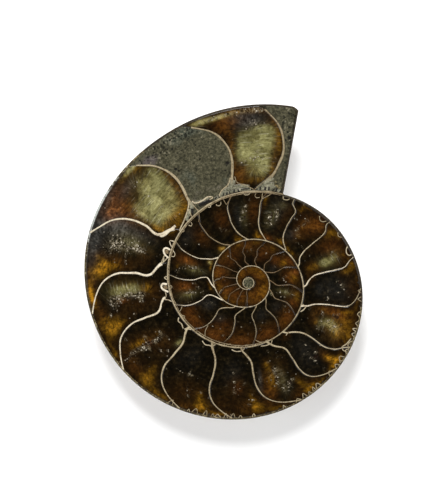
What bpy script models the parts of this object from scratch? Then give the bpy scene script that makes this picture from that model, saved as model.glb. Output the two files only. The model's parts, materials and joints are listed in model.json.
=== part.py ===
"""Half of an ammonite fossil, sawn along its coiling plane and polished.

The shell is one spiral whorl that laps over its own earlier turns and leaves an open, stepped
umbilicus on the natural flank. The wide end of the whorl is sawn off straight. The half lies on
its rounded flank with the flat polished face up.

It is modelled with the pole of the spiral at the origin and the polished face level, and is then
turned to the attitude in which it rests. Lengths at the top are in millimetres, angles in degrees.
"""

import math

import bmesh
import bpy
from mathutils import Matrix, Vector

MM = 0.001

# Radius of the shell wall in the polished face, an eighth of a turn apart, going inwards
# anticlockwise. The first one lies just beyond the sawn end.
FIRST_ANGLE = 30.0
ANGLE_STEP = 45.0
WALL_RADII = (
    56.0,
    52.4, 49.0, 48.0, 44.6, 40.4, 36.9, 33.7, 30.2,
    27.0, 25.2, 23.8, 21.5, 19.1, 17.3, 16.2, 14.5,
    12.9, 11.8, 10.6, 8.9, 7.2, 6.6, 6.2, 5.7,
    5.1, 4.4,
)

# Straight sawn end, in the polished face, from the rim to the whorl inside it.
CUT_RIM = Vector((14.65, 51.2))
CUT_WHORL = Vector((10.15, 26.7))
CORNER_DROP = 0.8
CORNER_ANGLE = 2.4

# Natural flank behind the polished face.
HALF_THICKNESS = 12.6
THICKNESS_GROWTH = 0.80
UMBILICUS_SHARE = 0.25
SHOULDER_AT = 0.25
SHOULDER_POWER = 2.8
VENTER_POWER = 2.15
RIM_BEVEL = 0.3

# Low folds across the flank, bent forwards at the rim.
RIBS_PER_TURN = 24
RIB_HEIGHT = 0.30
RIB_SWEEP = 9.0
RIB_CENTRE = 0.66
RIB_SPREAD = 0.30

# Mesh: columns in one turn, rows from the rim to the lap of the next turn, rows from there to
# the seam, and the turns seen on the flank.
COLUMNS = 120
RIM_ROWS = 10
LAP_ROWS = 6
TURNS = 3
LEAN_ANGLE = 60.0


def wall_radius(angle):
    """Radius of the shell wall, as a smooth curve through the listed radii."""
    place = (angle - FIRST_ANGLE) / ANGLE_STEP
    at = min(max(int(place), 1), len(WALL_RADII) - 3)
    part = place - at
    before, here, after, beyond = (math.log(WALL_RADII[at + k]) for k in (-1, 0, 1, 2))
    bend = part * (3 * (here - after) + beyond - before)
    bend += 2 * before - 5 * here + 4 * after - beyond
    return math.exp(here + 0.5 * part * (after - before + part * bend))


def cut_angle(radius):
    """Direction of the point of the sawn end at a distance from the pole."""
    along = (CUT_RIM - CUT_WHORL).normalized()
    nearest = CUT_WHORL - along * CUT_WHORL.dot(along)
    point = nearest + along * math.sqrt(radius**2 - nearest.length_squared)
    return math.degrees(math.atan2(point.y, point.x))


START = cut_angle(CUT_RIM.length)


def seam_radius(angle):
    """Radius at which the flank meets the turn it laps over."""
    return UMBILICUS_SHARE * wall_radius(angle)


def rim_radius(angle):
    """Outer radius of the whorl, with the corner at the sawn end worn off."""
    past_cut = (angle - START) / CORNER_ANGLE
    worn = CORNER_DROP * (1 - past_cut) ** 2 if abs(past_cut) < 1 else 0.0
    return wall_radius(angle) - worn


def lap_share(angle):
    """Place on a whorl of the seam of the turn outside it: 0 at its own seam, 1 at its rim."""
    outside = max(angle, START + 360.0) - 360.0
    growth = wall_radius(outside) / wall_radius(outside + 360.0)
    return UMBILICUS_SHARE * (growth - 1) / (1 - UMBILICUS_SHARE)


def half_thickness(angle):
    return HALF_THICKNESS * (wall_radius(angle) / WALL_RADII[1]) ** THICKNESS_GROWTH


def folds(angle, across):
    """Height of the ribs as a share of the half thickness."""
    sweep = RIB_SWEEP * (math.sin(math.pi * across) - across**2)
    wave = 0.5 + 0.5 * math.cos(math.radians(RIBS_PER_TURN * (angle + sweep)))
    place = (across - RIB_CENTRE) / RIB_SPREAD
    return RIB_HEIGHT / HALF_THICKNESS * wave * math.exp(-(place**2))


def flank_depth(angle, across):
    """Distance of the natural flank behind the polished face."""
    thick = half_thickness(angle)
    if across >= SHOULDER_AT:
        outward = min(1.0, (across - SHOULDER_AT) / (1 - SHOULDER_AT))
        dome = math.sqrt(max(0.0, 1 - outward**VENTER_POWER))
        return thick * (dome + folds(angle, across))
    seam_depth = flank_depth(angle + 360.0, max(lap_share(angle + 360.0), SHOULDER_AT))
    rise = 1 - (1 - across / SHOULDER_AT) ** SHOULDER_POWER
    return seam_depth + (thick * (1 + folds(angle, across)) - seam_depth) * rise


def flank_point(angle, across):
    """A point of the natural flank. Near the sawn end the columns lean to run along it."""
    turned = (angle - START) % 360.0
    lean = max(0.0, 1 - min(turned, 360.0 - turned) / LEAN_ANGLE)
    leaned = angle
    for _ in range(12):
        seam = seam_radius(leaned)
        radius = seam + across * (rim_radius(leaned) - seam)
        guide = max(radius, UMBILICUS_SHARE * CUT_RIM.length)
        leaned = angle + lean * (cut_angle(guide) - START)
    depth = max(flank_depth(leaned, across), RIM_BEVEL)
    turn = math.radians(leaned)
    return Vector((radius * math.cos(turn), radius * math.sin(turn), -depth))


def column(angle):
    """Flank points from the rim to the seam of the innermost turn, at one direction."""
    lap = lap_share(angle)
    points = []
    for row in range(RIM_ROWS):
        across = lap + (1 - lap) * math.cos(0.5 * math.pi * row / RIM_ROWS)
        points.append(flank_point(angle, across))
    for turn in range(TURNS):
        turned = angle + 360.0 * turn
        lap = lap_share(turned)
        for row in range(LAP_ROWS):
            points.append(flank_point(turned, lap * (1 - row / LAP_ROWS)))
    turned = angle + 360.0 * TURNS
    points.append(flank_point(turned, lap_share(turned)))
    return points


def half_shell():
    """The closed half shell, with its polished face level at height zero."""
    solid = bmesh.new()
    grid = []
    for step in range(COLUMNS):
        angle = START + 360.0 * step / COLUMNS
        grid.append([solid.verts.new(point) for point in column(angle)])

    # The last column closes the turn: from the lap inwards it runs into the first column.
    first = grid[0]
    closing = column(START + 360.0)
    shared = RIM_ROWS + LAP_ROWS * (TURNS - 1)
    last = []
    for row, point in enumerate(closing):
        if RIM_ROWS <= row <= shared:
            last.append(first[row + LAP_ROWS])
        else:
            last.append(solid.verts.new(point))
    grid.append(last)

    for here, there in zip(grid, grid[1:]):
        for row in range(len(here) - 1):
            corners = [here[row], here[row + 1], there[row + 1], there[row]]
            solid.faces.new(dict.fromkeys(corners))

    # The first chamber closes the flank at the pole.
    ring = [line[-1] for line in grid] + list(reversed(last[shared + 1:-1]))
    depth = sum(vert.co.z for vert in ring) / len(ring)
    pole = solid.verts.new((0.0, 0.0, depth * 1.12))
    for here, there in zip(ring, ring[1:] + ring[:1]):
        solid.faces.new((here, pole, there))
    for face in solid.faces:
        face.smooth = True

    # Sawn end, then the polished face with its rim eased.
    sawn = first[:RIM_ROWS + LAP_ROWS + 1] + list(reversed(last[:RIM_ROWS]))
    solid.faces.new(sawn)
    face = solid.faces.new([line[0] for line in grid])
    bmesh.ops.recalc_face_normals(solid, faces=solid.faces)
    bmesh.ops.inset_region(solid, faces=[face], thickness=RIM_BEVEL, depth=RIM_BEVEL)
    bmesh.ops.triangulate(solid, faces=solid.faces)
    return solid


def centre_of_mass(solid):
    volume = 0.0
    moment = Vector((0.0, 0.0, 0.0))
    for face in solid.faces:
        one, two, three = (vert.co for vert in face.verts)
        part = one.dot(two.cross(three)) / 6
        volume += part
        moment += part * (one + two + three) / 4
    return moment / volume


def resting_turn(solid):
    """Turn that sets the half down on its flank: the support plane nearest the centre of mass."""
    centre = centre_of_mass(solid)
    hull = bmesh.new()
    for vert in solid.verts:
        hull.verts.new(vert.co)
    made = bmesh.ops.convex_hull(hull, input=hull.verts)
    supports = []
    for face in made["geom"]:
        if isinstance(face, bmesh.types.BMFace):
            face.normal_update()
            if face.normal.z < -0.8:
                reach = face.normal.dot(face.verts[0].co - centre)
                supports.append((reach, face.normal.copy()))
    hull.free()
    lowest = min(supports, key=lambda support: support[0])[1]
    return lowest.rotation_difference(Vector((0.0, 0.0, -1.0))).to_matrix()


def set_down(solid):
    """Turn the half to rest and stand its bounding box on the origin."""
    bmesh.ops.transform(solid, matrix=resting_turn(solid).to_4x4(), verts=solid.verts)
    low = [min(vert.co[axis] for vert in solid.verts) for axis in range(3)]
    high = [max(vert.co[axis] for vert in solid.verts) for axis in range(3)]
    foot = Vector(((low[0] + high[0]) / 2, (low[1] + high[1]) / 2, low[2]))
    bmesh.ops.transform(solid, matrix=Matrix.Translation(-foot), verts=solid.verts)
    bmesh.ops.transform(solid, matrix=Matrix.Scale(MM, 4), verts=solid.verts)


def fossil_stone():
    """Brown calcite and mudstone with a polish."""
    material = bpy.data.materials.new("fossil_stone")
    material.use_nodes = True
    shader = material.node_tree.nodes["Principled BSDF"]
    shader.inputs["Base Color"].default_value = (0.20, 0.13, 0.07, 1.0)
    shader.inputs["Roughness"].default_value = 0.35
    return material


for thing in list(bpy.data.objects):
    bpy.data.objects.remove(thing)

solid = half_shell()
set_down(solid)
mesh = bpy.data.meshes.new("ammonite")
solid.to_mesh(mesh)
solid.free()
mesh.materials.append(fossil_stone())
ammonite = bpy.data.objects.new("ammonite", mesh)
bpy.context.scene.collection.objects.link(ammonite)
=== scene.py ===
"""A polished half of an ammonite: the shell outside, its walls and septa, and the calcite and
mudstone that fill its chambers, laid on its rounded flank."""

import json
import math
import random

import bmesh
import bpy
from mathutils import Matrix, Vector, noise


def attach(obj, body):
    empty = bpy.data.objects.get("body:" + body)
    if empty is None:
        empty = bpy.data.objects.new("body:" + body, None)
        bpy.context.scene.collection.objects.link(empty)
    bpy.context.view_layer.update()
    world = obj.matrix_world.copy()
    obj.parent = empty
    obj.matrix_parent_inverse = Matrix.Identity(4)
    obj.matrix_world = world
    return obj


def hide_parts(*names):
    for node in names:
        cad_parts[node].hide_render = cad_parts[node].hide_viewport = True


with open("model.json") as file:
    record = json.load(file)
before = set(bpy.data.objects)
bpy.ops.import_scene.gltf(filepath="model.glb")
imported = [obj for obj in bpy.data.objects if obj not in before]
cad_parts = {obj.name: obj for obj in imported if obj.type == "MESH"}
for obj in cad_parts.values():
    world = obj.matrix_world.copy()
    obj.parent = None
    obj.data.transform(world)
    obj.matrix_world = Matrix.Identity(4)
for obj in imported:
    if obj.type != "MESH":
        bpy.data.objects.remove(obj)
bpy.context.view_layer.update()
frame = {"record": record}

# ---------------------------------------------------------------------------------------------
# Natural flank. The outside of the shell: one whorl lapping over its earlier turns, in brown
# shell worn through to mother-of-pearl, with low ribs and fine growth lines. On the sawn side it
# ends in a thin lip, the shell wall cut across, with its edge eased by the polishing wheel.

# The radius of the shell wall at every 45 degrees of growth, from just beyond the sawn end
# inwards to the first chamber.
FIRST_ANGLE = 30.0
ANGLE_STEP = 45.0
WALL_RADII = (
    56.0,
    52.4, 49.0, 48.0, 44.6, 40.4, 36.9, 33.7, 30.2,
    27.0, 25.2, 23.8, 21.5, 19.1, 17.3, 16.2, 14.5,
    12.9, 11.8, 10.6, 8.9, 7.2, 6.6, 6.2, 5.7,
    5.1, 4.4, 3.5, 2.5, 1.9, 1.7, 1.6,
)
CUT_RIM = Vector((14.65, 51.2))
CUT_WHORL = Vector((10.15, 26.7))
CORNER_DROP = 0.8
CORNER_ANGLE = 2.4
HALF_THICKNESS = 12.6
THICKNESS_GROWTH = 0.80
UMBILICUS_SHARE = 0.25
SHOULDER_AT = 0.25
SHOULDER_POWER = 2.8
VENTER_POWER = 2.15
RIM_BEVEL = 0.3
RIBS_PER_TURN = 24
RIB_HEIGHT = 0.30
RIB_SWEEP = 9.0
RIB_CREST = 0.66
RIB_REACH = 0.30
GROWTH_LINES_PER_TURN = 120
GROWTH_LINE_HEIGHT = 0.035
GROWTH_LINE_SWEEP = 1.2
WEAR_HEIGHT = 0.10
CUT_LEAN_SPAN = 60.0
FLANK_COLUMNS = 480
RIM_ROWS = 30
LAP_ROWS = 12
TURNS = 3
POLE_DEEPER = 1.12
LIP_WIDTH = 0.25
LIP_DEPTH = 0.42
TRAY_CLEARANCE = 0.02
TRAY_DEPTH = 2.4

mount = next(m for m in frame["record"]["mounts"] if m["name"] == "cut_face")
face_turn = Vector((0.0, 0.0, 1.0)).rotation_difference(Vector(mount["axis"]))
seat = Matrix.Translation(Vector(mount["pos_m"])) @ face_turn.to_matrix().to_4x4()
seat @= Matrix.Scale(0.001, 4)


def wall_radius(angle):
    """Radius of the shell wall at a growth angle, in millimetres, inwards from the sawn end."""
    place = min((angle - FIRST_ANGLE) / ANGLE_STEP, len(WALL_RADII) - 2.0)
    at = min(max(int(place), 1), len(WALL_RADII) - 3)
    part = place - at
    before, here, after, beyond = (math.log(WALL_RADII[at + k]) for k in (-1, 0, 1, 2))
    bend = part * (3 * (here - after) + beyond - before)
    bend += 2 * before - 5 * here + 4 * after - beyond
    return math.exp(here + 0.5 * part * (after - before + part * bend))


def polar(radius, angle):
    """A point of the sawn face, from its distance and direction from the pole."""
    turn = math.radians(angle)
    return Vector((radius * math.cos(turn), radius * math.sin(turn)))


def cut_angle(radius):
    """Direction of the point of the sawn end at a distance from the pole."""
    along = (CUT_RIM - CUT_WHORL).normalized()
    nearest = CUT_WHORL - along * CUT_WHORL.dot(along)
    point = nearest + along * math.sqrt(radius**2 - nearest.length_squared)
    return math.degrees(math.atan2(point.y, point.x))


START = cut_angle(CUT_RIM.length)


def rim_radius(angle):
    """Radius of the outer rim, whose corner at the sawn end is worn round."""
    past_cut = (angle - START) / CORNER_ANGLE
    worn = CORNER_DROP * (1 - past_cut) ** 2 if abs(past_cut) < 1 else 0.0
    return wall_radius(angle) - worn


def lap_share(angle):
    """Place on a whorl of the seam of the turn outside it: 0 at its own seam, 1 at its rim."""
    outside = max(angle, START + 360.0) - 360.0
    growth = wall_radius(outside) / wall_radius(outside + 360.0)
    return UMBILICUS_SHARE * (growth - 1) / (1 - UMBILICUS_SHARE)


def rib_sweep(across):
    """How far a rib has swept from its start, in degrees, at a place across the whorl."""
    return RIB_SWEEP * (math.sin(math.pi * across) - across**2)


def flank_relief(angle, across):
    """Ribs, growth lines and wear on the flank, in millimetres."""
    sweep = rib_sweep(across)
    wave = 0.5 + 0.5 * math.cos(math.radians(RIBS_PER_TURN * (angle + sweep)))
    ribs = RIB_HEIGHT * wave * math.exp(-(((across - RIB_CREST) / RIB_REACH) ** 2))
    swept = math.radians(GROWTH_LINES_PER_TURN * (angle + GROWTH_LINE_SWEEP * sweep))
    place = Vector((9 * across, 5 * math.radians(angle), 0.0))
    lines = GROWTH_LINE_HEIGHT * math.cos(swept) * min(1.0, 6 * across)
    lines *= 0.4 + noise.noise(place * 0.9)
    return ribs + lines + WEAR_HEIGHT * noise.noise(place * 2.3) * (1 - across**4)


def flank_depth(angle, across):
    """Depth of the flank below the sawn face, which starts on the turn outside it."""
    thick = HALF_THICKNESS * (wall_radius(angle) / WALL_RADII[1]) ** THICKNESS_GROWTH
    relief = flank_relief(angle, across) * thick / HALF_THICKNESS
    if across >= SHOULDER_AT:
        outward = min(1.0, (across - SHOULDER_AT) / (1 - SHOULDER_AT))
        return thick * math.sqrt(max(0.0, 1 - outward**VENTER_POWER)) + relief
    seam_depth = flank_depth(angle + 360.0, max(lap_share(angle + 360.0), SHOULDER_AT))
    rise = 1 - (1 - across / SHOULDER_AT) ** SHOULDER_POWER
    return seam_depth + (thick + relief - seam_depth) * rise


def flank_point(angle, across):
    """A point of the flank, its growth angle and its place across the whorl.

    Near the sawn end the columns lean over until they lie along its straight line.
    """
    turned = (angle - START) % 360.0
    lean = max(0.0, 1 - min(turned, 360.0 - turned) / CUT_LEAN_SPAN)
    leaned = angle
    for _ in range(8 if lean > 0 else 1):
        seam = UMBILICUS_SHARE * wall_radius(leaned)
        radius = seam + across * (rim_radius(leaned) - seam)
        guide = max(radius, UMBILICUS_SHARE * CUT_RIM.length)
        leaned = angle + lean * (cut_angle(guide) - START)
    depth = max(flank_depth(leaned, across), RIM_BEVEL)
    return Vector((*polar(radius, leaned), -depth)), leaned, across


def flank_column(angle):
    """Points of the flank from the rim to the pole, over every turn in one direction."""
    lap = lap_share(angle)
    places = [(angle, lap + (1 - lap) * math.cos(0.5 * math.pi * k / RIM_ROWS))
              for k in range(RIM_ROWS)]
    for turn in range(TURNS):
        turned = angle + 360.0 * turn
        lap = lap_share(turned)
        places += [(turned, lap * (1 - k / LAP_ROWS)) for k in range(LAP_ROWS)]
    turned = angle + 360.0 * TURNS
    return [flank_point(*place) for place in places + [(turned, lap_share(turned))]]


def put_field(mesh, name, values):
    """Named values on the points of a mesh, each a number or three of them."""
    if hasattr(values[0], "__len__"):
        layer = mesh.attributes.new(name, "FLOAT_VECTOR", "POINT")
        layer.data.foreach_set("vector", [part for value in values for part in value])
    else:
        layer = mesh.attributes.new(name, "FLOAT", "POINT")
        layer.data.foreach_set("value", values)


def into_scene(name, data):
    made = bpy.data.objects.new(name, data)
    bpy.context.scene.collection.objects.link(made)
    return made


def dress(name, mesh):
    """A finished mesh as a piece of the fossil, whose single solid it stands for."""
    made = into_scene(name, mesh)
    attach(made, "root")
    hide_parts("ammonite")
    return made


def make_piece(name, points, faces, fields, material):
    """A piece from points on the sawn face, in millimetres, with named values on its points."""
    mesh = bpy.data.meshes.new(name)
    mesh.from_pydata([seat @ Vector(point) for point in points], [], faces)
    for field, values in fields.items():
        put_field(mesh, field, values)
    mesh.polygons.foreach_set("use_smooth", [True] * len(mesh.polygons))
    mesh.materials.append(material)
    return dress(name, mesh)


class Wire:
    """A socket in a material. Arithmetic on wires adds the nodes that do it."""

    def __init__(self, tree, socket=None):
        self.tree = tree
        self.socket = socket

    def node(self, kind, settings=None, inputs=None, out=0):
        """Any node, from its type, its settings and the values or links of its sockets."""
        made = self.tree.nodes.new(kind)
        for name, value in (settings or {}).items():
            if name != "stops":
                setattr(made, name, value)
                continue
            for _ in value[2:]:
                made.color_ramp.elements.new(0.5)
            for stop, (place, colour) in zip(made.color_ramp.elements, value):
                stop.position = place
                stop.color = (*colour, 1.0)
        for name, value in (inputs or {}).items():
            if isinstance(value, Wire):
                self.tree.links.new(value.socket, made.inputs[name])
            elif made.inputs[name].type == "RGBA":
                made.inputs[name].default_value = (*value, 1.0)
            else:
                made.inputs[name].default_value = value
        return Wire(self.tree, made.outputs[out])

    def math(self, operation, one, two):
        return self.node("ShaderNodeMath", {"operation": operation}, {0: one, 1: two})

    def __add__(self, other):
        return self.math("ADD", self, other)

    def __sub__(self, other):
        return self.math("SUBTRACT", self, other)

    def __rsub__(self, other):
        return self.math("SUBTRACT", other, self)

    def __mul__(self, other):
        return self.math("MULTIPLY", self, other)

    __radd__ = __add__
    __rmul__ = __mul__

    def step(self, low, high):
        """0 below low and 1 above high, smooth between. With low above high it falls."""
        return self.node(
            "ShaderNodeMapRange", {"interpolation_type": "SMOOTHSTEP"},
            {"Value": self, "From Min": low, "From Max": high},
        )

    def ramp(self, *stops):
        """A colour for each value, blended between stops of a place and a colour."""
        return self.node("ShaderNodeValToRGB", {"stops": stops}, {"Fac": self})

    def towards(self, other, amount, blend="MIX"):
        """This colour mixed with another one."""
        return self.node(
            "ShaderNodeMix", {"data_type": "RGBA", "blend_type": blend},
            {0: amount, 6: self, 7: other}, out=2
        )

    def field(self, name, out="Fac"):
        return self.node("ShaderNodeAttribute", {"attribute_name": name}, out=out)

    def place(self):
        """Position on the object, in millimetres."""
        place = self.node("ShaderNodeTexCoord", out="Object")
        return place.stretch((1000.0, 1000.0, 1000.0))

    def stretch(self, by):
        return self.node("ShaderNodeMapping", None, {"Vector": self, "Scale": by})

    def clouds(self, scale, detail=4.0, rough=0.55, warp=0.0):
        """Noise on this position, around one half."""
        return self.node(
            "ShaderNodeTexNoise", None,
            {"Vector": self, "Scale": scale, "Detail": detail, "Roughness": rough,
             "Distortion": warp},
        )

    def cells(self, scale, out="Distance"):
        """Grains around scattered centres: the distance to the nearest, or its own tone."""
        return self.node("ShaderNodeTexVoronoi", None, {"Vector": self, "Scale": scale}, out=out)


def stone_material(name, gloss, paint):
    """A material from a paint function that gives colour, roughness, height and its size."""
    material = bpy.data.materials.new(name)
    material.use_nodes = True
    tree = material.node_tree
    shader = tree.nodes["Principled BSDF"]
    wire = Wire(tree)
    colour, rough, height, size = paint(wire)
    bump = wire.node("ShaderNodeBump", None, {"Height": height, "Distance": size * 0.001})
    for feeds, made in (("Base Color", colour), ("Roughness", rough), ("Normal", bump)):
        tree.links.new(made.socket, shader.inputs[feeds])
    shader.inputs["Specular IOR Level"].default_value = gloss
    return material


def worn_shell(wire):
    """Brown shell in streaks along the growth lines, worn to mother-of-pearl, with its cut lip, and
    painted shade in the hollow at the middle of the flank.
    """
    place = wire.place()
    lines = wire.field("lines", "Vector")
    streaks = lines.stretch((2.4, 0.35, 1.0)).clouds(2.0, 6.0, 0.6)
    mottle = place.clouds(0.11, 5.0, 0.6)
    grain = place.clouds(1.4, 5.0, 0.65)
    shell = (streaks * 0.55 + mottle * 0.3 + grain * 0.15).ramp(
        (0.34, (0.030, 0.016, 0.008)), (0.46, (0.095, 0.052, 0.022)),
        (0.55, (0.20, 0.125, 0.060)), (0.68, (0.40, 0.30, 0.17)),
    )
    pearl = (place.clouds(0.09, 3.0) + streaks * 0.35).ramp(
        (0.45, (0.34, 0.20, 0.15)), (0.60, (0.46, 0.40, 0.30)),
        (0.68, (0.30, 0.38, 0.31)), (0.80, (0.50, 0.46, 0.42)),
    )
    bare = (place.clouds(0.13, 6.0, 0.65) + grain * 0.2).step(0.62, 0.70)
    colour = shell.towards(pearl, bare * 0.75)
    # Painted shade deep in the hollow at the middle of the flank and over the inner turns.
    hollow = wire.field("umbilicus") + grain * 0.5 - 0.25
    colour = colour.towards((0.040, 0.032, 0.025), hollow.step(0.35, 0.85))
    lip = wire.field("lip")
    blue = wire.field("nacre") + (grain * 0.5 + mottle * 0.5 - 0.5) * 3.0
    edge = (grain * 0.7 + mottle * 0.3).ramp(
        (0.40, (0.014, 0.009, 0.003)), (0.51, (0.080, 0.058, 0.020)), (0.61, (0.30, 0.25, 0.14)),
    )
    edge = edge.towards((0.016, 0.011, 0.005), wire.field("dim_rim"))
    edge = edge.towards((0.42, 0.44, 0.41), blue.step(0.50, 0.90))
    colour = colour.towards(edge, lip.step(0.2, 0.8))
    rough = 0.62 - bare * 0.28 + lip * 0.10 + (grain - 0.5) * 0.2
    return colour, rough, streaks * 0.6 + grain * 0.4, 0.12


flank = bmesh.new()
layers = {name: flank.verts.layers.float.new(name) for name in ("growth", "across", "lip")}


def flank_vert(point, growth, across):
    vert = flank.verts.new(point)
    vert[layers["growth"]] = growth
    vert[layers["across"]] = across
    return vert


grid = [[flank_vert(*place) for place in flank_column(START + 360.0 * step / FLANK_COLUMNS)]
        for step in range(FLANK_COLUMNS)]

# One full turn on, each lap meets the next lap of the first column, so they share its points.
shared = RIM_ROWS + LAP_ROWS * (TURNS - 1)
last = [grid[0][row + LAP_ROWS] if RIM_ROWS <= row <= shared else flank_vert(*place)
        for row, place in enumerate(flank_column(START + 360.0))]
grid.append(last)
for here, there in zip(grid, grid[1:]):
    for row in range(len(here) - 1):
        flank.faces.new(dict.fromkeys((here[row], here[row + 1], there[row + 1], there[row])))
ring = [line[-1] for line in grid] + list(reversed(last[shared + 1:-1]))
pole_depth = POLE_DEEPER * sum(vert.co.z for vert in ring) / len(ring)
pole = flank_vert((0.0, 0.0, pole_depth), START + 360.0 * TURNS, 0.0)
for here, there in zip(ring, ring[1:] + ring[:1]):
    flank.faces.new((here, pole, there))
for face in flank.faces:
    face.smooth = True
flank.faces.new(grid[0][:RIM_ROWS + LAP_ROWS + 1] + list(reversed(last[:RIM_ROWS])))
top = flank.faces.new([line[0] for line in grid])
bmesh.ops.recalc_face_normals(flank, faces=flank.faces)

# The ground bevel, the lip, and a tray inside it that the fillings lie in.
for thickness, depth in ((RIM_BEVEL, RIM_BEVEL), (LIP_WIDTH, 0.0),
                         (TRAY_CLEARANCE, -TRAY_DEPTH)):
    bmesh.ops.inset_region(flank, faces=[top], thickness=thickness, depth=depth)
for vert in flank.verts:
    if vert.co.z > -LIP_DEPTH:
        vert[layers["lip"]] = 1.0 if vert.co.z > -0.05 else 0.6
        growth = math.degrees(math.atan2(vert.co.y, vert.co.x)) % 360.0
        vert[layers["growth"]] = growth if growth > START - 6 else growth + 360.0
bmesh.ops.transform(flank, matrix=seat, verts=flank.verts)

mesh = bpy.data.meshes.new("natural_flank")
flank.to_mesh(mesh)
flank.free()
growths, acrosses = ([value.value for value in mesh.attributes[name].data]
                     for name in ("growth", "across"))
put_field(mesh, "lines", [((growth + GROWTH_LINE_SWEEP * rib_sweep(across)) / 10.0, 6.0 * across,
                           0.0) for growth, across in zip(growths, acrosses)])
# How much painted shade falls at each point: deep at the seam in the middle of the flank, and over
# the inner turns.
put_field(mesh, "umbilicus", [max(0.0, 1 - across / 0.12) if growth < 420 else 0.75
                              for growth, across in zip(growths, acrosses)])
put_field(mesh, "nacre", [math.exp(-(((growth - 155.0) / 19.0) ** 2)) for growth in growths])
put_field(mesh, "dim_rim", [0.1 if 128 <= growth <= 348 else 0.85 for growth in growths])
put_field(mesh, "edge", [1.0] * len(growths))
mesh.materials.append(stone_material("worn_shell", 0.25, worn_shell))
natural_flank = dress("natural_flank", mesh)

# ---------------------------------------------------------------------------------------------
# Chambers of the outer whorl. Each lies between two septa and is filled with calcite that grew
# inwards from its walls, from near black through honey to pale green, often leaving a small
# hollow along the middle. The filling is cut level with the walls and polished.

RIM_INSET = RIM_BEVEL + 0.10
FILL_LEVEL = -0.03
FILL_DEPTH = 2.1
PIT_DEPTH = 0.14
CORE_RADIUS = 1.55
HEART_PLACES = (0.30, 0.72)
PATCH_REACH = 2.4
RIM_END = START + 354.0
INNER_FROM = 15
OUTER_CELL = 0.42

# Curves of the septa by growth angle: how many degrees each lies from its middle at places from
# the inner wall to the outer one. The septa between them take a blend.
SEPTUM_PLACES = (0.0, 0.05, 0.1, 0.2, 0.4, 0.6, 0.8, 0.9, 1.0)
SEPTUM_SHAPES = (
    (75, (13, 8.5, 5, 2.2, 0, 0.9, 4.5, 7.6, 11)),
    (98, (6, 4, 2.6, 1.1, 0, 1.4, 6.3, 11, 15.5)),
    (125, (6, 3, 1.8, 1.1, 0, 1, 4.8, 7.8, 11)),
    (151, (-10, -8, -6, 0.5, 0, 0.9, 4.6, 8, 11.5)),
    (175, (-8.5, -8.4, -6.6, -0.2, 0, 0.8, 4.8, 9.7, 16.2)),
    (198.6, (-10, -8.8, -8, -1.4, 0, 0.9, 5, 10, 16)),
    (224, (-7.2, -6.9, -5.2, -1.7, 0, 0.8, 5.3, 10.1, 17.5)),
    (249, (-10, -8.9, -6.7, -2.5, 0, 0.6, 4.4, 8.9, 14.3)),
    (273, (-9.5, -8.3, -5.5, -1.6, 0, 1.8, 6.7, 12.2, 21)),
    (300, (-13, -10.6, -8.1, -1.8, 0, 0.4, 3.6, 8.5, 16)),
    (319, (-14, -12, -7.9, -2.8, 0, 0.6, 3.2, 6.4, 8.5)),
    (344, (-8.5, -7, -5.8, -2.6, 0, 1.1, 2.9, 6.6, 13)),
    (368, (-12, -10, -6, -2, 0, 0.6, 1.8, 4.3, 6)),
    (392, (-13, -10.5, -5.8, -2.6, 0, 0.9, 2.5, 5.4, 5.7)),
    (416, (-15, -11.5, -7.3, -2.9, 0, 0.6, 1.3, 5, 5.5)),
    (441, (-13.5, -10.5, -7.4, -2.9, 0, 0.4, 0.6, -1, -3)),
    (478, (-15, -11, -7.5, -3.4, 0, 0.3, -0.7, -2.8, -4)),
    (514, (-14, -10.5, -7.3, -4.1, 0, 0.4, -0.8, -2.4, -3.6)),
    (536, (12, 5.4, -2.5, -3.6, 0, 0.6, -0.4, -1.6, -2.6)),
    (560, (15, 7.5, 1, -3.2, 0, 0.8, -0.5, -2.4, -3.8)),
    (585, (16, 13.3, 5, -2.1, 0, 1.1, -0.6, -3.2, -5.6)),
    (611, (12, 8, 3.5, -2.5, 0, 0.9, -1, -3.4, -5.6)),
    (666, (12, 10, 6, -1.2, 0, 1.1, -1.8, -4, -6)),
    (742, (11, 8, 5, 0.4, 0, 1.2, -2, -4, -5.8)),
    (767, (-8, -5.5, -2.5, 1.5, 0, 1.5, -2.8, -4.8, -6.2)),
    (817, (-9, -7.3, -2.9, 1.6, 0, 3.2, -1.4, -2.2, -3.5)),
    (841, (-8, -6.5, -5, -2, 0, 4, 0, -2, -3)),
    (875, (-8, -7, -6.6, -2.8, 0, 1.6, 7.7, 9.8, 11)),
    (930, (-2, -1, 0, -1, 0, 1.5, 7.8, 11, 13)),
    (984, (-7, -6.5, -6, -5.3, 0, -0.8, 0, 1, 2)),
)

# The growth angle of every septum.
SEPTA = (
    75.2, 97.7, 124.6, 150.8, 175.0, 198.6, 223.8, 248.9, 273.1, 300.2, 319.1, 344.5, 367.9,
    391.3, 415.9, 440.9, 465.5, 489.6, 513.8, 536.4, 560.0, 584.7, 611.0, 638.3, 666.4, 691.6,
    716.3, 742.5, 767.5, 793.0, 817.3, 841.0, 863.6, 885.6, 908.5, 930.0, 954.9, 983.8,
)


def smooth_between(places, values, at):
    """A value on the smooth curve through values at increasing places."""
    k = max(i for i, place in enumerate(places[:-1]) if place <= max(at, places[0]))
    slopes = [(b - a) / (q - p) for a, b, p, q in
              zip(values, values[1:], places, places[1:])]
    width = places[k + 1] - places[k]
    part = (at - places[k]) / width
    here = 0.5 * (slopes[max(k - 1, 0)] + slopes[k])
    there = 0.5 * (slopes[k] + slopes[min(k + 1, len(slopes) - 1)])
    square, cube = part**2, part**3
    return (
        values[k] * (2 * cube - 3 * square + 1) + here * width * (cube - 2 * square + part)
        + values[k + 1] * (3 * square - 2 * cube) + there * width * (cube - square)
    )


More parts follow.
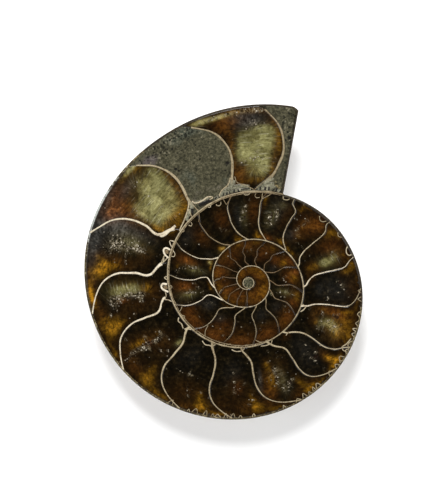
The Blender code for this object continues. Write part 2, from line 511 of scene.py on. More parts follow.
def septum(at):
    """Growth angle along a septum, as a function of the place from the inner to the outer wall."""
    k = max(i for i, (angle, _) in enumerate(SEPTUM_SHAPES[:-1]) if angle <= max(at, 75))
    (low, shape), (high, other) = SEPTUM_SHAPES[k:k + 2]
    part = min(1.0, max(0.0, (at - low) / (high - low)))
    bends = [a + (b - a) * part for a, b in zip(shape, other)]
    return lambda place: at + smooth_between(SEPTUM_PLACES, bends, place)


def inner_radius(angle):
    """Radius of the inner wall of the whorl, which is the outer wall of the turn before."""
    return max(wall_radius(angle + 360.0), CORE_RADIUS)


def outer_radius(angle):
    """Radius that the fillings reach: the wall, or on the last turn the inside of the rim."""
    if angle > RIM_END:
        return wall_radius(angle)
    return rim_radius(angle) - RIM_INSET


def whorl_point(angle, place):
    """A point of the sawn face, from 0 at the whorl's inner wall to 1 at its outer wall."""
    inner = inner_radius(angle)
    return polar(inner + place * (outer_radius(angle) - inner), angle)


# Where the calcite of each kind has grown: growth angle, place across the whorl, reach along and
# across it, strength in the middle and, where a patch slants, its lean in degrees per whorl width.
GROWTHS = {
    "pale": (
        (84.2, 0.62, 3.6, 0.14, 0.42), (82.6, 0.4, 3.4, 0.16, 0.42), (89, 0.52, 5.8, 0.13, 0.35),
        (92, 0.46, 4.6, 0.11, 0.38), (86, 0.34, 5.5, 0.1, 0.36), (82, 0.24, 3.4, 0.09, 0.36),
        (88, 0.22, 5, 0.07, 0.28), (91, 0.68, 3, 0.06, 0.34), (80.5, 0.6, 2, 0.14, 0.3),
        (86, 0.74, 4, 0.05, 0.28), (83.4, 0.71, 2.4, 0.06, 0.36), (93, 0.58, 2.2, 0.09, 0.28),
        (92, 0.4, 3.2, 0.05, 0.26), (101, 0.935, 6, 0.03, 0.62, -60), (107, 0.955, 3.5, 0.03, 0.7),
        (76, 0.09, 5, 0.04, 0.6), (139, 0.42, 6, 0.14, 0.68), (146, 0.5, 3.4, 0.17, 0.54),
        (131, 0.6, 4, 0.17, 0.5), (137, 0.62, 4.5, 0.13, 0.5), (137, 0.8, 3.6, 0.12, 0.2),
        (130, 0.78, 2.6, 0.1, 0.2), (130, 0.4, 3.4, 0.1, 0.3), (140, 0.27, 6, 0.09, 0.42),
        (133, 0.25, 5, 0.09, 0.38), (146, 0.32, 2.6, 0.1, 0.36), (136, 0.955, 4, 0.03, 0.7),
        (161, 0.5, 4, 0.2, 0.32), (183.5, 0.6, 2.8, 0.15, 0.52), (182.5, 0.43, 2.8, 0.1, 0.46),
        (220.5, 0.24, 1.6, 0.06, 0.5), (289, 0.6, 3, 0.2, 0.22), (333.5, 0.54, 3.2, 0.14, 0.58),
        (331, 0.66, 3.6, 0.1, 0.3), (330, 0.4, 3, 0.06, 0.3), (375, 0.46, 3.6, 0.12, 0.48),
        (375.5, 0.62, 3.8, 0.1, 0.32), (378, 0.7, 3, 0.08, 0.2), (426, 0.8, 3, 0.08, 0.2),
        (431, 0.5, 4, 0.2, 0.3), (454, 0.5, 3, 0.22, 0.22), (512, 0.12, 2.6, 0.05, 0.6),
        (526, 0.4, 4, 0.22, 0.34), (551, 0.62, 4, 0.22, 0.32), (706, 0.45, 5, 0.22, 0.3),
        (695, 0.1, 3, 0.04, 0.6), (487, 0.06, 6, 0.04, 0.3),
    ),
    "gold": (
        (78, 0.6, 1.7, 0.22, 0.52, 8), (78.5, 0.26, 1.6, 0.14, 0.42), (84, 0.14, 6, 0.05, 0.42),
        (92, 0.12, 5, 0.04, 0.35), (101, 0.92, 6, 0.035, 0.36, -60), (107, 0.955, 4.5, 0.03, 0.45),
        (86, 0.945, 6, 0.03, 0.42), (94, 0.96, 5, 0.03, 0.5), (88, 0.24, 6, 0.06, 0.3),
        (131, 0.17, 6, 0.09, 0.56), (139, 0.17, 7, 0.08, 0.5), (129, 0.32, 3, 0.12, 0.34),
        (148.7, 0.25, 2.4, 0.14, 0.62), (142, 0.07, 6, 0.05, 0.5), (133, 0.91, 3.4, 0.07, 0.5),
        (140, 0.94, 4, 0.04, 0.4), (137, 0.72, 6, 0.16, 0.2), (145, 0.2, 4, 0.06, 0.35),
        (175, 0.82, 3.2, 0.13, 0.95, 10), (172.6, 0.68, 1.8, 0.14, 0.55), (170, 0.86, 2, 0.08, 0.4),
        (184.5, 0.955, 5, 0.05, 0.95), (183, 0.27, 3.6, 0.08, 0.56), (181, 0.5, 3, 0.2, 0.3),
        (198, 0.76, 2.4, 0.13, 0.78, 10), (199, 0.88, 4.6, 0.09, 0.6),
        (208, 0.955, 4.5, 0.035, 0.55), (195, 0.84, 2.2, 0.13, 0.4), (209, 0.68, 1.8, 0.12, 0.5),
        (208.6, 0.57, 1.8, 0.09, 0.48), (209, 0.36, 2, 0.05, 0.35),
        (222.8, 0.78, 2.6, 0.14, 0.5, 10), (223.6, 0.89, 4.4, 0.08, 0.54),
        (231, 0.95, 5, 0.045, 0.58), (247.4, 0.8, 2.4, 0.13, 0.58, 10),
        (249.4, 0.89, 4.2, 0.07, 0.56), (257, 0.955, 5, 0.04, 0.58),
        (272.4, 0.78, 2.2, 0.15, 0.54, 10), (274.8, 0.89, 4.4, 0.07, 0.54),
        (283, 0.955, 5, 0.04, 0.5), (283.6, 0.55, 2.8, 0.15, 0.62), (282.5, 0.32, 2.6, 0.08, 0.5),
        (298, 0.8, 2.4, 0.14, 0.48, 10), (300, 0.92, 3, 0.05, 0.4), (301.5, 0.92, 4, 0.05, 0.5),
        (307, 0.96, 4, 0.03, 0.42), (317.5, 0.84, 2.3, 0.13, 0.88, 10),
        (315.5, 0.93, 3, 0.05, 0.75), (320.8, 0.94, 2, 0.04, 0.7), (333, 0.62, 5, 0.18, 0.5),
        (337, 0.82, 6, 0.12, 0.46), (331, 0.9, 5, 0.07, 0.45), (329, 0.72, 3, 0.1, 0.38),
        (329.5, 0.33, 2.4, 0.05, 0.42), (340, 0.37, 3, 0.05, 0.4),
        (343.3, 0.76, 1.6, 0.14, 0.55, 8), (348, 0.92, 3, 0.05, 0.4),
        (367, 0.82, 2.2, 0.14, 0.5, 10), (371, 0.92, 3.4, 0.06, 0.5), (363, 0.95, 4, 0.03, 0.3),
        (374, 0.28, 4.5, 0.1, 0.52), (373, 0.15, 4, 0.06, 0.3), (377, 0.84, 4, 0.08, 0.32),
        (391.2, 0.85, 2.6, 0.12, 0.6), (388, 0.94, 3, 0.04, 0.45), (398, 0.05, 10, 0.045, 0.6),
        (406, 0.58, 3, 0.13, 0.28), (403, 0.37, 4, 0.06, 0.34), (414, 0.88, 1.8, 0.09, 0.55),
        (411, 0.95, 3, 0.03, 0.4), (412, 0.1, 6, 0.06, 0.62), (438.4, 0.82, 1.6, 0.12, 0.5),
        (438, 0.05, 5, 0.055, 0.66), (441, 0.11, 2.6, 0.07, 0.5), (462, 0.04, 6, 0.055, 0.66),
        (465, 0.1, 3, 0.07, 0.5), (486, 0.04, 6, 0.055, 0.66), (490, 0.1, 3.4, 0.07, 0.5),
        (511, 0.12, 4, 0.06, 0.66), (526, 0.8, 2.6, 0.06, 0.42), (518, 0.07, 6, 0.03, 0.5),
        (545, 0.1, 9, 0.04, 0.45), (590, 0.07, 11, 0.03, 0.42), (672, 0.85, 3.5, 0.1, 0.38),
        (704, 0.82, 8, 0.13, 0.45), (726, 0.76, 6, 0.14, 0.55), (750, 0.68, 5.5, 0.16, 0.58),
        (775, 0.82, 7, 0.13, 0.38), (800, 0.86, 9, 0.1, 0.36), (826, 0.86, 9, 0.1, 0.38),
        (852, 0.82, 11, 0.15, 0.28), (886, 0.85, 13, 0.13, 0.34), (907, 0.8, 11, 0.15, 0.36),
        (932, 0.82, 14, 0.2, 0.36), (962, 0.8, 18, 0.22, 0.36), (990, 0.6, 18, 0.34, 0.16),
        (1030, 0.6, 30, 0.5, 0.3), (1062, 0.7, 36, 0.5, 0.36), (1130, 0.7, 46, 0.5, 0.44),
        (1215, 0.6, 50, 0.6, 0.36), (1300, 0.6, 40, 0.6, 0.25),
    ),
    "rust": (
        (99.5, 0.85, 3.4, 0.07, 0.2), (94, 0.22, 3, 0.1, 0.18), (149, 0.72, 3.4, 0.16, 0.42),
        (153.3, 0.85, 3.2, 0.1, 0.6), (147, 0.9, 4, 0.07, 0.35), (188, 0.6, 1.1, 0.06, 0.6),
        (211, 0.53, 1.2, 0.05, 0.7), (217, 0.88, 3, 0.07, 0.1), (264.5, 0.58, 2, 0.07, 0.34),
        (281, 0.72, 3.4, 0.12, 0.18), (341, 0.58, 2.4, 0.18, 0.4), (404, 0.64, 6, 0.18, 0.2),
        (400, 0.8, 4, 0.12, 0.3), (384, 0.7, 4, 0.18, 0.22), (428, 0.06, 6, 0.05, 0.45),
        (446, 0.6, 5, 0.24, 0.14), (473, 0.6, 5.4, 0.18, 0.16), (495, 0.56, 5.4, 0.18, 0.16),
        (520, 0.6, 3.8, 0.18, 0.55), (543, 0.65, 3.8, 0.17, 0.56), (575, 0.84, 9, 0.12, 0.4),
        (565, 0.78, 4, 0.15, 0.3), (597, 0.85, 10, 0.13, 0.4), (600, 0.58, 9, 0.18, 0.22),
        (622, 0.85, 11, 0.14, 0.38), (650, 0.82, 11, 0.15, 0.39), (678, 0.82, 10, 0.15, 0.38),
        (696, 0.75, 4, 0.12, 0.45), (733, 0.85, 5, 0.1, 0.55), (748, 0.86, 6, 0.1, 0.55),
        (728, 0.62, 9, 0.14, 0.32), (760, 0.55, 8, 0.16, 0.3), (785, 0.5, 12, 0.3, 0.26),
        (815, 0.8, 10, 0.2, 0.24), (845, 0.6, 16, 0.3, 0.26), (880, 0.75, 14, 0.25, 0.42),
        (920, 0.5, 20, 0.35, 0.36), (955, 0.45, 20, 0.35, 0.36), (1040, 0.6, 34, 0.5, 0.42),
        (1120, 0.6, 40, 0.5, 0.36), (1210, 0.6, 45, 0.5, 0.34),
    ),
    "brown": (
        (97, 0.5, 1.8, 0.4, 0.8), (99, 0.82, 4, 0.12, 0.8), (94, 0.22, 4, 0.12, 0.8),
        (81, 0.84, 3, 0.07, 0.7), (94, 0.86, 5, 0.07, 0.5), (92, 0.95, 10, 0.04, 0.5),
        (79, 0.5, 2, 0.4, 0.6), (127, 0.45, 1.8, 0.35, 0.9), (136, 0.28, 8, 0.2, 0.5),
        (150, 0.6, 5, 0.3, 0.7), (143, 0.82, 6, 0.12, 0.4), (171, 0.6, 4, 0.22, 0.6),
        (165, 0.3, 5, 0.1, 0.5), (179, 0.94, 5, 0.06, 0.7), (192, 0.9, 5, 0.07, 0.6),
        (191, 0.45, 5, 0.25, 0.4), (185, 0.18, 6, 0.08, 0.4), (215, 0.4, 6, 0.18, 0.4),
        (215, 0.86, 6, 0.12, 0.5), (208, 0.62, 4, 0.25, 0.4), (239, 0.76, 7, 0.17, 0.42),
        (243, 0.94, 6, 0.05, 0.6), (268, 0.85, 6, 0.14, 0.5), (257, 0.8, 6, 0.16, 0.34),
        (263, 0.55, 5, 0.14, 0.4), (281, 0.64, 4, 0.26, 0.75), (294, 0.9, 4, 0.08, 0.6),
        (290, 0.4, 5, 0.16, 0.35), (303, 0.88, 4, 0.08, 0.4), (316.5, 0.76, 1.8, 0.14, 0.7),
        (306, 0.08, 5, 0.06, 0.5), (334, 0.7, 9, 0.24, 0.7), (340, 0.55, 4, 0.3, 0.6),
        (334, 0.27, 7, 0.09, 0.55), (357, 0.85, 6, 0.13, 0.4), (365, 0.14, 5, 0.07, 0.55),
        (378, 0.75, 8, 0.2, 0.5), (374, 0.22, 5, 0.12, 0.4), (387, 0.6, 4, 0.3, 0.4),
        (401, 0.75, 9, 0.2, 0.75), (404, 0.45, 6, 0.2, 0.5), (421, 0.6, 4, 0.3, 0.4),
        (432, 0.1, 8, 0.08, 0.5), (446, 0.6, 5, 0.3, 0.45), (472, 0.55, 6, 0.25, 0.35),
        (495, 0.55, 6, 0.25, 0.35), (520, 0.6, 5, 0.3, 0.5), (545, 0.7, 6, 0.25, 0.5),
        (573, 0.78, 11, 0.2, 0.55), (599, 0.72, 12, 0.25, 0.55), (623, 0.72, 13, 0.25, 0.55),
        (651, 0.74, 13, 0.22, 0.55), (678, 0.74, 12, 0.22, 0.55), (703, 0.7, 12, 0.25, 0.5),
        (730, 0.66, 12, 0.25, 0.6), (754, 0.66, 12, 0.25, 0.6), (782, 0.7, 14, 0.3, 0.5),
        (810, 0.7, 14, 0.3, 0.5), (840, 0.7, 18, 0.35, 0.5), (880, 0.65, 20, 0.4, 0.55),
        (920, 0.6, 24, 0.45, 0.6), (960, 0.5, 26, 0.5, 0.7), (1000, 0.4, 26, 0.6, 0.8),
    ),
    "cool": (
        (89.5, 0.82, 5.5, 0.08, 0.72), (92, 0.9, 5, 0.04, 0.45), (143, 0.84, 5, 0.07, 0.5),
        (149, 0.95, 5, 0.04, 0.5), (157, 0.72, 5, 0.22, 0.8), (165, 0.92, 9, 0.07, 0.76),
        (156, 0.45, 3, 0.2, 0.4), (232, 0.3, 6, 0.2, 0.1), (260, 0.35, 6, 0.16, 0.12),
        (310, 0.45, 7, 0.25, 0.16), (277, 0.5, 1, 0.14, 0.5), (356, 0.55, 8, 0.25, 0.2),
        (355, 0.27, 5, 0.06, 0.2), (409, 0.32, 5, 0.1, 0.25), (428, 0.62, 5, 0.25, 0.2),
        (459, 0.5, 3, 0.25, 0.2), (503, 0.8, 7, 0.12, 0.14), (505, 0.2, 4, 0.1, 0.1),
        (568, 0.3, 7, 0.14, 0.3), (562, 0.5, 2, 0.1, 0.3), (592, 0.42, 5, 0.1, 0.25),
        (652, 0.3, 10, 0.14, 0.18), (750, 0.3, 10, 0.14, 0.15), (680, 0.4, 9, 0.14, 0.15),
    ),
    "spark": (
        (88, 0.95, 11, 0.035, 0.75), (102, 0.94, 6, 0.025, 0.62, -60), (86, 0.39, 9, 0.018, 0.62),
        (93, 0.35, 4, 0.02, 0.5), (86.5, 0.465, 0.45, 0.012, 1.6), (88, 0.79, 5, 0.07, 0.4),
        (139, 0.57, 0.5, 0.02, 1), (130, 0.44, 4, 0.02, 0.55), (138.5, 0.16, 2, 0.02, 0.6),
        (148, 0.5, 1.6, 0.14, 0.35), (140, 0.36, 5, 0.02, 0.5), (139, 0.8, 2, 0.06, 0.4),
        (150.5, 0.92, 5, 0.05, 0.35), (163.7, 0.66, 2.4, 0.09, 0.85), (162, 0.53, 2.2, 0.1, 0.6),
        (163, 0.4, 2.2, 0.09, 0.8), (168, 0.52, 5, 0.02, 0.6), (160.5, 0.6, 3, 0.2, 0.3),
        (167, 0.75, 5, 0.12, 0.3), (187.3, 0.67, 1.5, 0.09, 0.9), (185.8, 0.52, 1.2, 0.12, 0.8),
        (186, 0.38, 1.6, 0.08, 0.95), (189, 0.36, 2, 0.04, 0.6), (193.3, 0.785, 0.7, 0.016, 1.7),
        (190, 0.72, 3, 0.08, 0.35), (195.5, 0.5, 0.5, 0.04, 0.6), (183, 0.5, 3, 0.2, 0.3),
        (211, 0.72, 1, 0.09, 0.9), (212, 0.61, 1.5, 0.07, 0.85), (208.5, 0.53, 2, 0.03, 0.8),
        (212, 0.44, 1.4, 0.08, 0.95), (209.5, 0.34, 2, 0.03, 0.75), (213.5, 0.57, 2, 0.02, 0.6),
        (217, 0.48, 4, 0.014, 0.5, -40), (220, 0.42, 1.3, 0.015, 0.8),
        (212.3, 0.88, 0.45, 0.07, 0.8), (204.5, 0.745, 0.8, 0.018, 0.9),
        (214, 0.3, 3, 0.014, 0.5, -60), (216, 0.8, 2.5, 0.06, 0.25), (236.8, 0.51, 0.5, 0.05, 1),
        (238.5, 0.525, 0.9, 0.015, 0.9), (232, 0.54, 3, 0.012, 0.55, 60),
        (243, 0.51, 4, 0.01, 0.5, 90), (240, 0.7, 0.5, 0.08, 0.5, 22),
        (241.6, 0.795, 0.5, 0.018, 1.4), (226.3, 0.62, 0.6, 0.03, 0.6), (235, 0.11, 1, 0.015, 0.7),
        (246.5, 0.7, 1, 0.03, 0.5), (262.7, 0.62, 1.1, 0.06, 0.6), (261.8, 0.49, 0.8, 0.018, 1.4),
        (265.6, 0.57, 0.9, 0.06, 0.6, -40), (260.5, 0.36, 0.8, 0.018, 1.2),
        (257.7, 0.54, 1, 0.02, 0.55), (268, 0.51, 1.6, 0.012, 0.6), (272, 0.76, 0.8, 0.016, 1.3),
        (272.2, 0.69, 0.7, 0.014, 1.2), (270.5, 0.82, 1, 0.03, 0.6), (286.2, 0.57, 1.1, 0.13, 0.8),
        (287, 0.42, 1.6, 0.05, 0.95), (288.4, 0.74, 0.6, 0.1, 0.75), (291.5, 0.72, 2, 0.05, 0.85),
        (294.6, 0.67, 1.2, 0.03, 0.95), (290, 0.55, 2.2, 0.16, 0.38),
        (292, 0.27, 2, 0.012, 0.8, -50), (276.5, 0.52, 0.45, 0.09, 0.5), (284, 0.28, 2, 0.03, 0.5),
        (286, 0.13, 1.2, 0.03, 0.5), (283, 0.5, 1.6, 0.12, 0.4), (311, 0.665, 1.5, 0.022, 1.1),
        (314, 0.59, 1.3, 0.018, 1.2), (310, 0.6, 0.8, 0.03, 0.9), (312.7, 0.39, 0.6, 0.02, 1.1),
        (313.7, 0.33, 0.5, 0.018, 0.9), (307.5, 0.47, 2, 0.016, 0.5), (311.5, 0.86, 0.8, 0.06, 0.5),
        (304.5, 0.26, 1, 0.02, 0.45), (310, 0.5, 3, 0.02, 0.4), (334, 0.5, 1.4, 0.05, 1),
        (332, 0.58, 2.4, 0.09, 0.62), (330, 0.4, 3, 0.05, 0.55), (338, 0.38, 3, 0.03, 0.62, -30),
        (334, 0.66, 3.4, 0.08, 0.4), (339.3, 0.56, 1.2, 0.02, 0.7), (327, 0.45, 1, 0.1, 0.4),
        (337, 0.15, 2, 0.02, 0.6), (340.5, 0.63, 1.2, 0.04, 0.5), (358.5, 0.67, 2.2, 0.05, 0.62),
        (360.8, 0.61, 0.5, 0.03, 1.3), (354.5, 0.62, 0.6, 0.04, 0.5), (348.8, 0.425, 1, 0.01, 1.4),
        (353.5, 0.43, 4, 0.008, 0.62), (355, 0.265, 1.2, 0.01, 0.9), (350, 0.54, 0.7, 0.02, 0.5),
        (357, 0.34, 2.6, 0.008, 0.6, 90), (375, 0.45, 1.2, 0.05, 0.7),
        (380.3, 0.69, 0.5, 0.07, 1, 14), (376, 0.62, 2, 0.08, 0.36), (384, 0.29, 0.7, 0.015, 1),
        (389.5, 0.56, 0.6, 0.018, 0.8), (378, 0.42, 2, 0.05, 0.35), (406.5, 0.63, 1.5, 0.06, 0.72),
        (408, 0.48, 1.7, 0.05, 0.7), (409, 0.44, 0.4, 0.012, 1.5), (407, 0.74, 3, 0.04, 0.45),
        (413, 0.65, 1.2, 0.02, 0.7), (393.5, 0.28, 2, 0.014, 0.7), (398.5, 0.275, 1, 0.012, 0.7),
        (399.5, 0.7, 0.5, 0.08, 0.45, -40), (404, 0.4, 3, 0.06, 0.4), (428.5, 0.64, 1.8, 0.055, 1),
        (432.5, 0.48, 1.6, 0.05, 1.35), (429.5, 0.35, 1.7, 0.035, 1.2), (427, 0.5, 1.6, 0.08, 0.5),
        (430.5, 0.76, 0.7, 0.06, 0.7), (436, 0.56, 3, 0.016, 0.75, 60),
        (430, 0.92, 0.6, 0.018, 0.9), (434, 0.36, 2, 0.02, 0.7), (426.5, 0.58, 1, 0.06, 0.7),
        (452, 0.7, 1.6, 0.045, 0.85), (455, 0.6, 1.2, 0.04, 0.75), (456.5, 0.43, 1.8, 0.06, 0.6),
        (452.7, 0.31, 1.1, 0.018, 1.5), (449.5, 0.83, 0.6, 0.05, 0.6), (449, 0.33, 2, 0.008, 0.7),
        (453, 0.62, 2, 0.1, 0.4), (477.5, 0.42, 0.8, 0.07, 0.7), (473, 0.33, 2, 0.03, 0.45),
        (480, 0.65, 1, 0.08, 0.35), (475, 0.38, 2.4, 0.03, 0.4), (502.3, 0.52, 0.8, 0.018, 1.5),
        (499.5, 0.4, 0.6, 0.012, 0.6), (492, 0.64, 0.8, 0.02, 0.6), (508, 0.74, 2, 0.02, 0.3),
        (527, 0.66, 1.2, 0.06, 1), (524.5, 0.4, 1.9, 0.06, 0.95), (525, 0.26, 1.6, 0.05, 0.6),
        (530.5, 0.78, 2, 0.07, 0.5), (524, 0.54, 1.6, 0.09, 0.55), (549, 0.62, 1, 0.1, 1.1),
        (550, 0.5, 1.6, 0.05, 0.85), (546, 0.38, 2, 0.05, 0.62), (551, 0.3, 2, 0.05, 0.5),
        (557.7, 0.68, 0.8, 0.08, 0.7), (543.5, 0.92, 0.7, 0.018, 1), (540, 0.4, 2, 0.06, 0.45),
        (575, 0.67, 2, 0.012, 0.8, 50), (569, 0.24, 2.2, 0.03, 0.6), (566, 0.34, 3, 0.05, 0.35),
        (590.5, 0.655, 1.5, 0.016, 1.2), (591.5, 0.42, 3, 0.04, 0.5), (603.8, 0.77, 1, 0.03, 1.1),
        (621, 0.48, 2.2, 0.014, 0.9), (615, 0.36, 1.6, 0.03, 0.5), (629.5, 0.65, 0.7, 0.08, 0.5),
        (643.5, 0.6, 1.5, 0.05, 0.75), (682, 0.68, 0.8, 0.05, 0.85), (686, 0.76, 2.2, 0.02, 0.8),
        (687.5, 0.58, 1.2, 0.06, 0.75), (671, 0.61, 1.2, 0.04, 0.6), (654, 0.13, 2, 0.03, 0.5),
        (705, 0.72, 0.8, 0.06, 1.1), (706.7, 0.56, 0.9, 0.03, 1.3), (698.5, 0.47, 1.3, 0.04, 1.1),
        (698.5, 0.39, 1.2, 0.03, 0.9), (704, 0.33, 2.4, 0.03, 0.8), (694.8, 0.11, 1.8, 0.03, 1.6),
        (701, 0.25, 3, 0.02, 0.6), (721.5, 0.48, 1.2, 0.04, 0.8), (730.5, 0.53, 1.2, 0.07, 0.8),
        (728, 0.42, 1.2, 0.04, 0.7), (751, 0.38, 2.4, 0.02, 0.6), (745, 0.45, 2, 0.03, 0.4),
        (805, 0.59, 1.2, 0.04, 1.2), (779, 0.55, 1.4, 0.1, 0.5), (848, 0.37, 2.4, 0.02, 0.8),
        (847, 0.76, 2, 0.05, 0.5), (812, 0.56, 2, 0.06, 0.5),
    ),
    "hollow": (
        (187, 0.5, 0.6, 0.06, 0.8), (211, 0.53, 0.9, 0.05, 0.9), (163.5, 0.5, 0.8, 0.06, 0.6),
        (312, 0.63, 1.2, 0.035, 1), (339, 0.62, 1.1, 0.035, 0.9), (360.2, 0.64, 0.9, 0.03, 1),
        (292.5, 0.68, 1, 0.04, 0.8), (431, 0.55, 0.9, 0.05, 0.9), (431.5, 0.43, 0.7, 0.03, 0.8),
        (286.8, 0.48, 0.5, 0.05, 0.6), (237.2, 0.49, 0.5, 0.025, 0.7), (526, 0.5, 0.9, 0.05, 0.7),
        (549.5, 0.56, 0.8, 0.05, 0.7), (453.5, 0.5, 0.8, 0.04, 0.6), (706, 0.48, 1.2, 0.05, 0.7),
    ),
}


def grown(patches, angle, place):
    """How much of one kind there is at a point, where patches of it run into each other."""
    left = 1.0
    for at, across, along, over, strength, *lean in patches:
        aside = angle - at - (lean[0] if lean else 0.0) * (place - across)
        if abs(aside) < PATCH_REACH * along and abs(place - across) < PATCH_REACH * over:
            far = (aside / along) ** 2 + ((place - across) / over) ** 2
            if strength < 1:
                left -= left * strength * math.exp(-far)
            else:
                left = min(left, 1 - strength * math.exp(-far))
    return 1 - left


def hollow_at(point, edge, rough, hollow, pits):
    """How deep the hollows are at a point: rough inside, and gone at the walls."""
    deep = min(1.0, max(0.0, hollow * 1.3 + 0.9 * rough - 0.15))
    deep *= min(1.0, edge / 0.5) * (hollow > 0.02)
    for at, high, size, depth in pits:
        far = (point - whorl_point(at, high)).length / size
        deep = max(deep, depth * max(0.0, 1.3 - far) * (1 + 0.6 * rough))
    return deep


def close_below(points, faces, fields, around, middle):
    """Sides down from the points around a filling, and a fan that closes it underneath."""
    under = len(points)
    for vert in around:
        points.append((*points[vert][:2], -FILL_DEPTH))
        for values in fields.values():
            values.append(values[vert])
    centre = len(points)
    points.append((*middle, -FILL_DEPTH))
    for values in fields.values():
        values.append(values[around[0]])
    pairs = [(k, (k + 1) % len(around)) for k in range(len(around))]
    faces += [(around[k], around[nxt], under + nxt, under + k) for k, nxt in pairs]
    faces += [(under + k, under + nxt, centre) for k, nxt in pairs]


def fill_chambers(name, pairs, cell, material, growths, pits=()):
    """Fillings between pairs of septa: level tops with hollows let in, closed underneath.

    The field "edge" is the distance to the walls, and "spoke" the direction from the heart of
    the chamber, along which needles of calcite grow.
    """
    points, faces = [], []
    fields = {"edge": [], "spoke": [], **{kind: [] for kind in growths}}
    for first, second in pairs:
        middle = 0.5 * (first(0.5) + second(0.5))
        height = outer_radius(middle) - inner_radius(middle)
        width = (whorl_point(first(0.5), 0.5) - whorl_point(second(0.5), 0.5)).length
        if second(0.5) - first(0.5) > 180:  # wraps the pole, so its arc counts, not its chord
            width = math.radians(second(0.5) - first(0.5)) * inner_radius(middle) * 1.6
        rows = max(8, math.ceil(height / cell))
        columns = max(6, math.ceil(width / cell))
        base = len(points)
        for row in range(rows + 1):
            place = row / rows
            one, two = first(place), second(place)
            heart = min(HEART_PLACES[1], max(HEART_PLACES[0], place))
            centre = whorl_point(0.5 * (first(heart) + second(heart)), heart)
            for column in range(columns + 1):
                across = column / columns
                angle = one + (two - one) * across
                point = whorl_point(angle, place)
                gap = math.radians(two - one) * point.length
                inside = min(place * height, across * gap, (1 - across) * gap)
                edge = min(inside, (1 - place) * height)
                ray = point - centre
                values = {kind: grown(patches, angle, place) for kind, patches in growths.items()}
                rough = noise.noise(Vector((*point, 3.0)) * 1.3)
                pit = values["hollow"] = hollow_at(point, edge, rough, values["hollow"], pits)
                level = FILL_LEVEL - PIT_DEPTH * pit + 0.012 * rough * min(1.0, edge)
                points.append((*point, level))
                values["edge"] = min(edge + 0.45, inside)
                spoke = centre + ray / max(ray.length, 0.05) * 6.0
                values["spoke"] = (*spoke, 0.35 * ray.length)
                for field, value in values.items():
                    fields[field].append(value)
        wide = columns + 1
        for row in range(rows):
            for column in range(columns):
                at = base + row * wide + column
                faces.append((at, at + wide, at + wide + 1, at + 1))
        around = [base + k for k in range(wide)]
        around += [base + row * wide + columns for row in range(1, rows + 1)]
        around += [base + rows * wide + k for k in range(columns - 1, -1, -1)]
        around += [base + row * wide for row in range(rows - 1, 0, -1)]
        close_below(points, faces, fields, around, whorl_point(middle, 0.5))
    return make_piece(name, points, faces, fields, material)


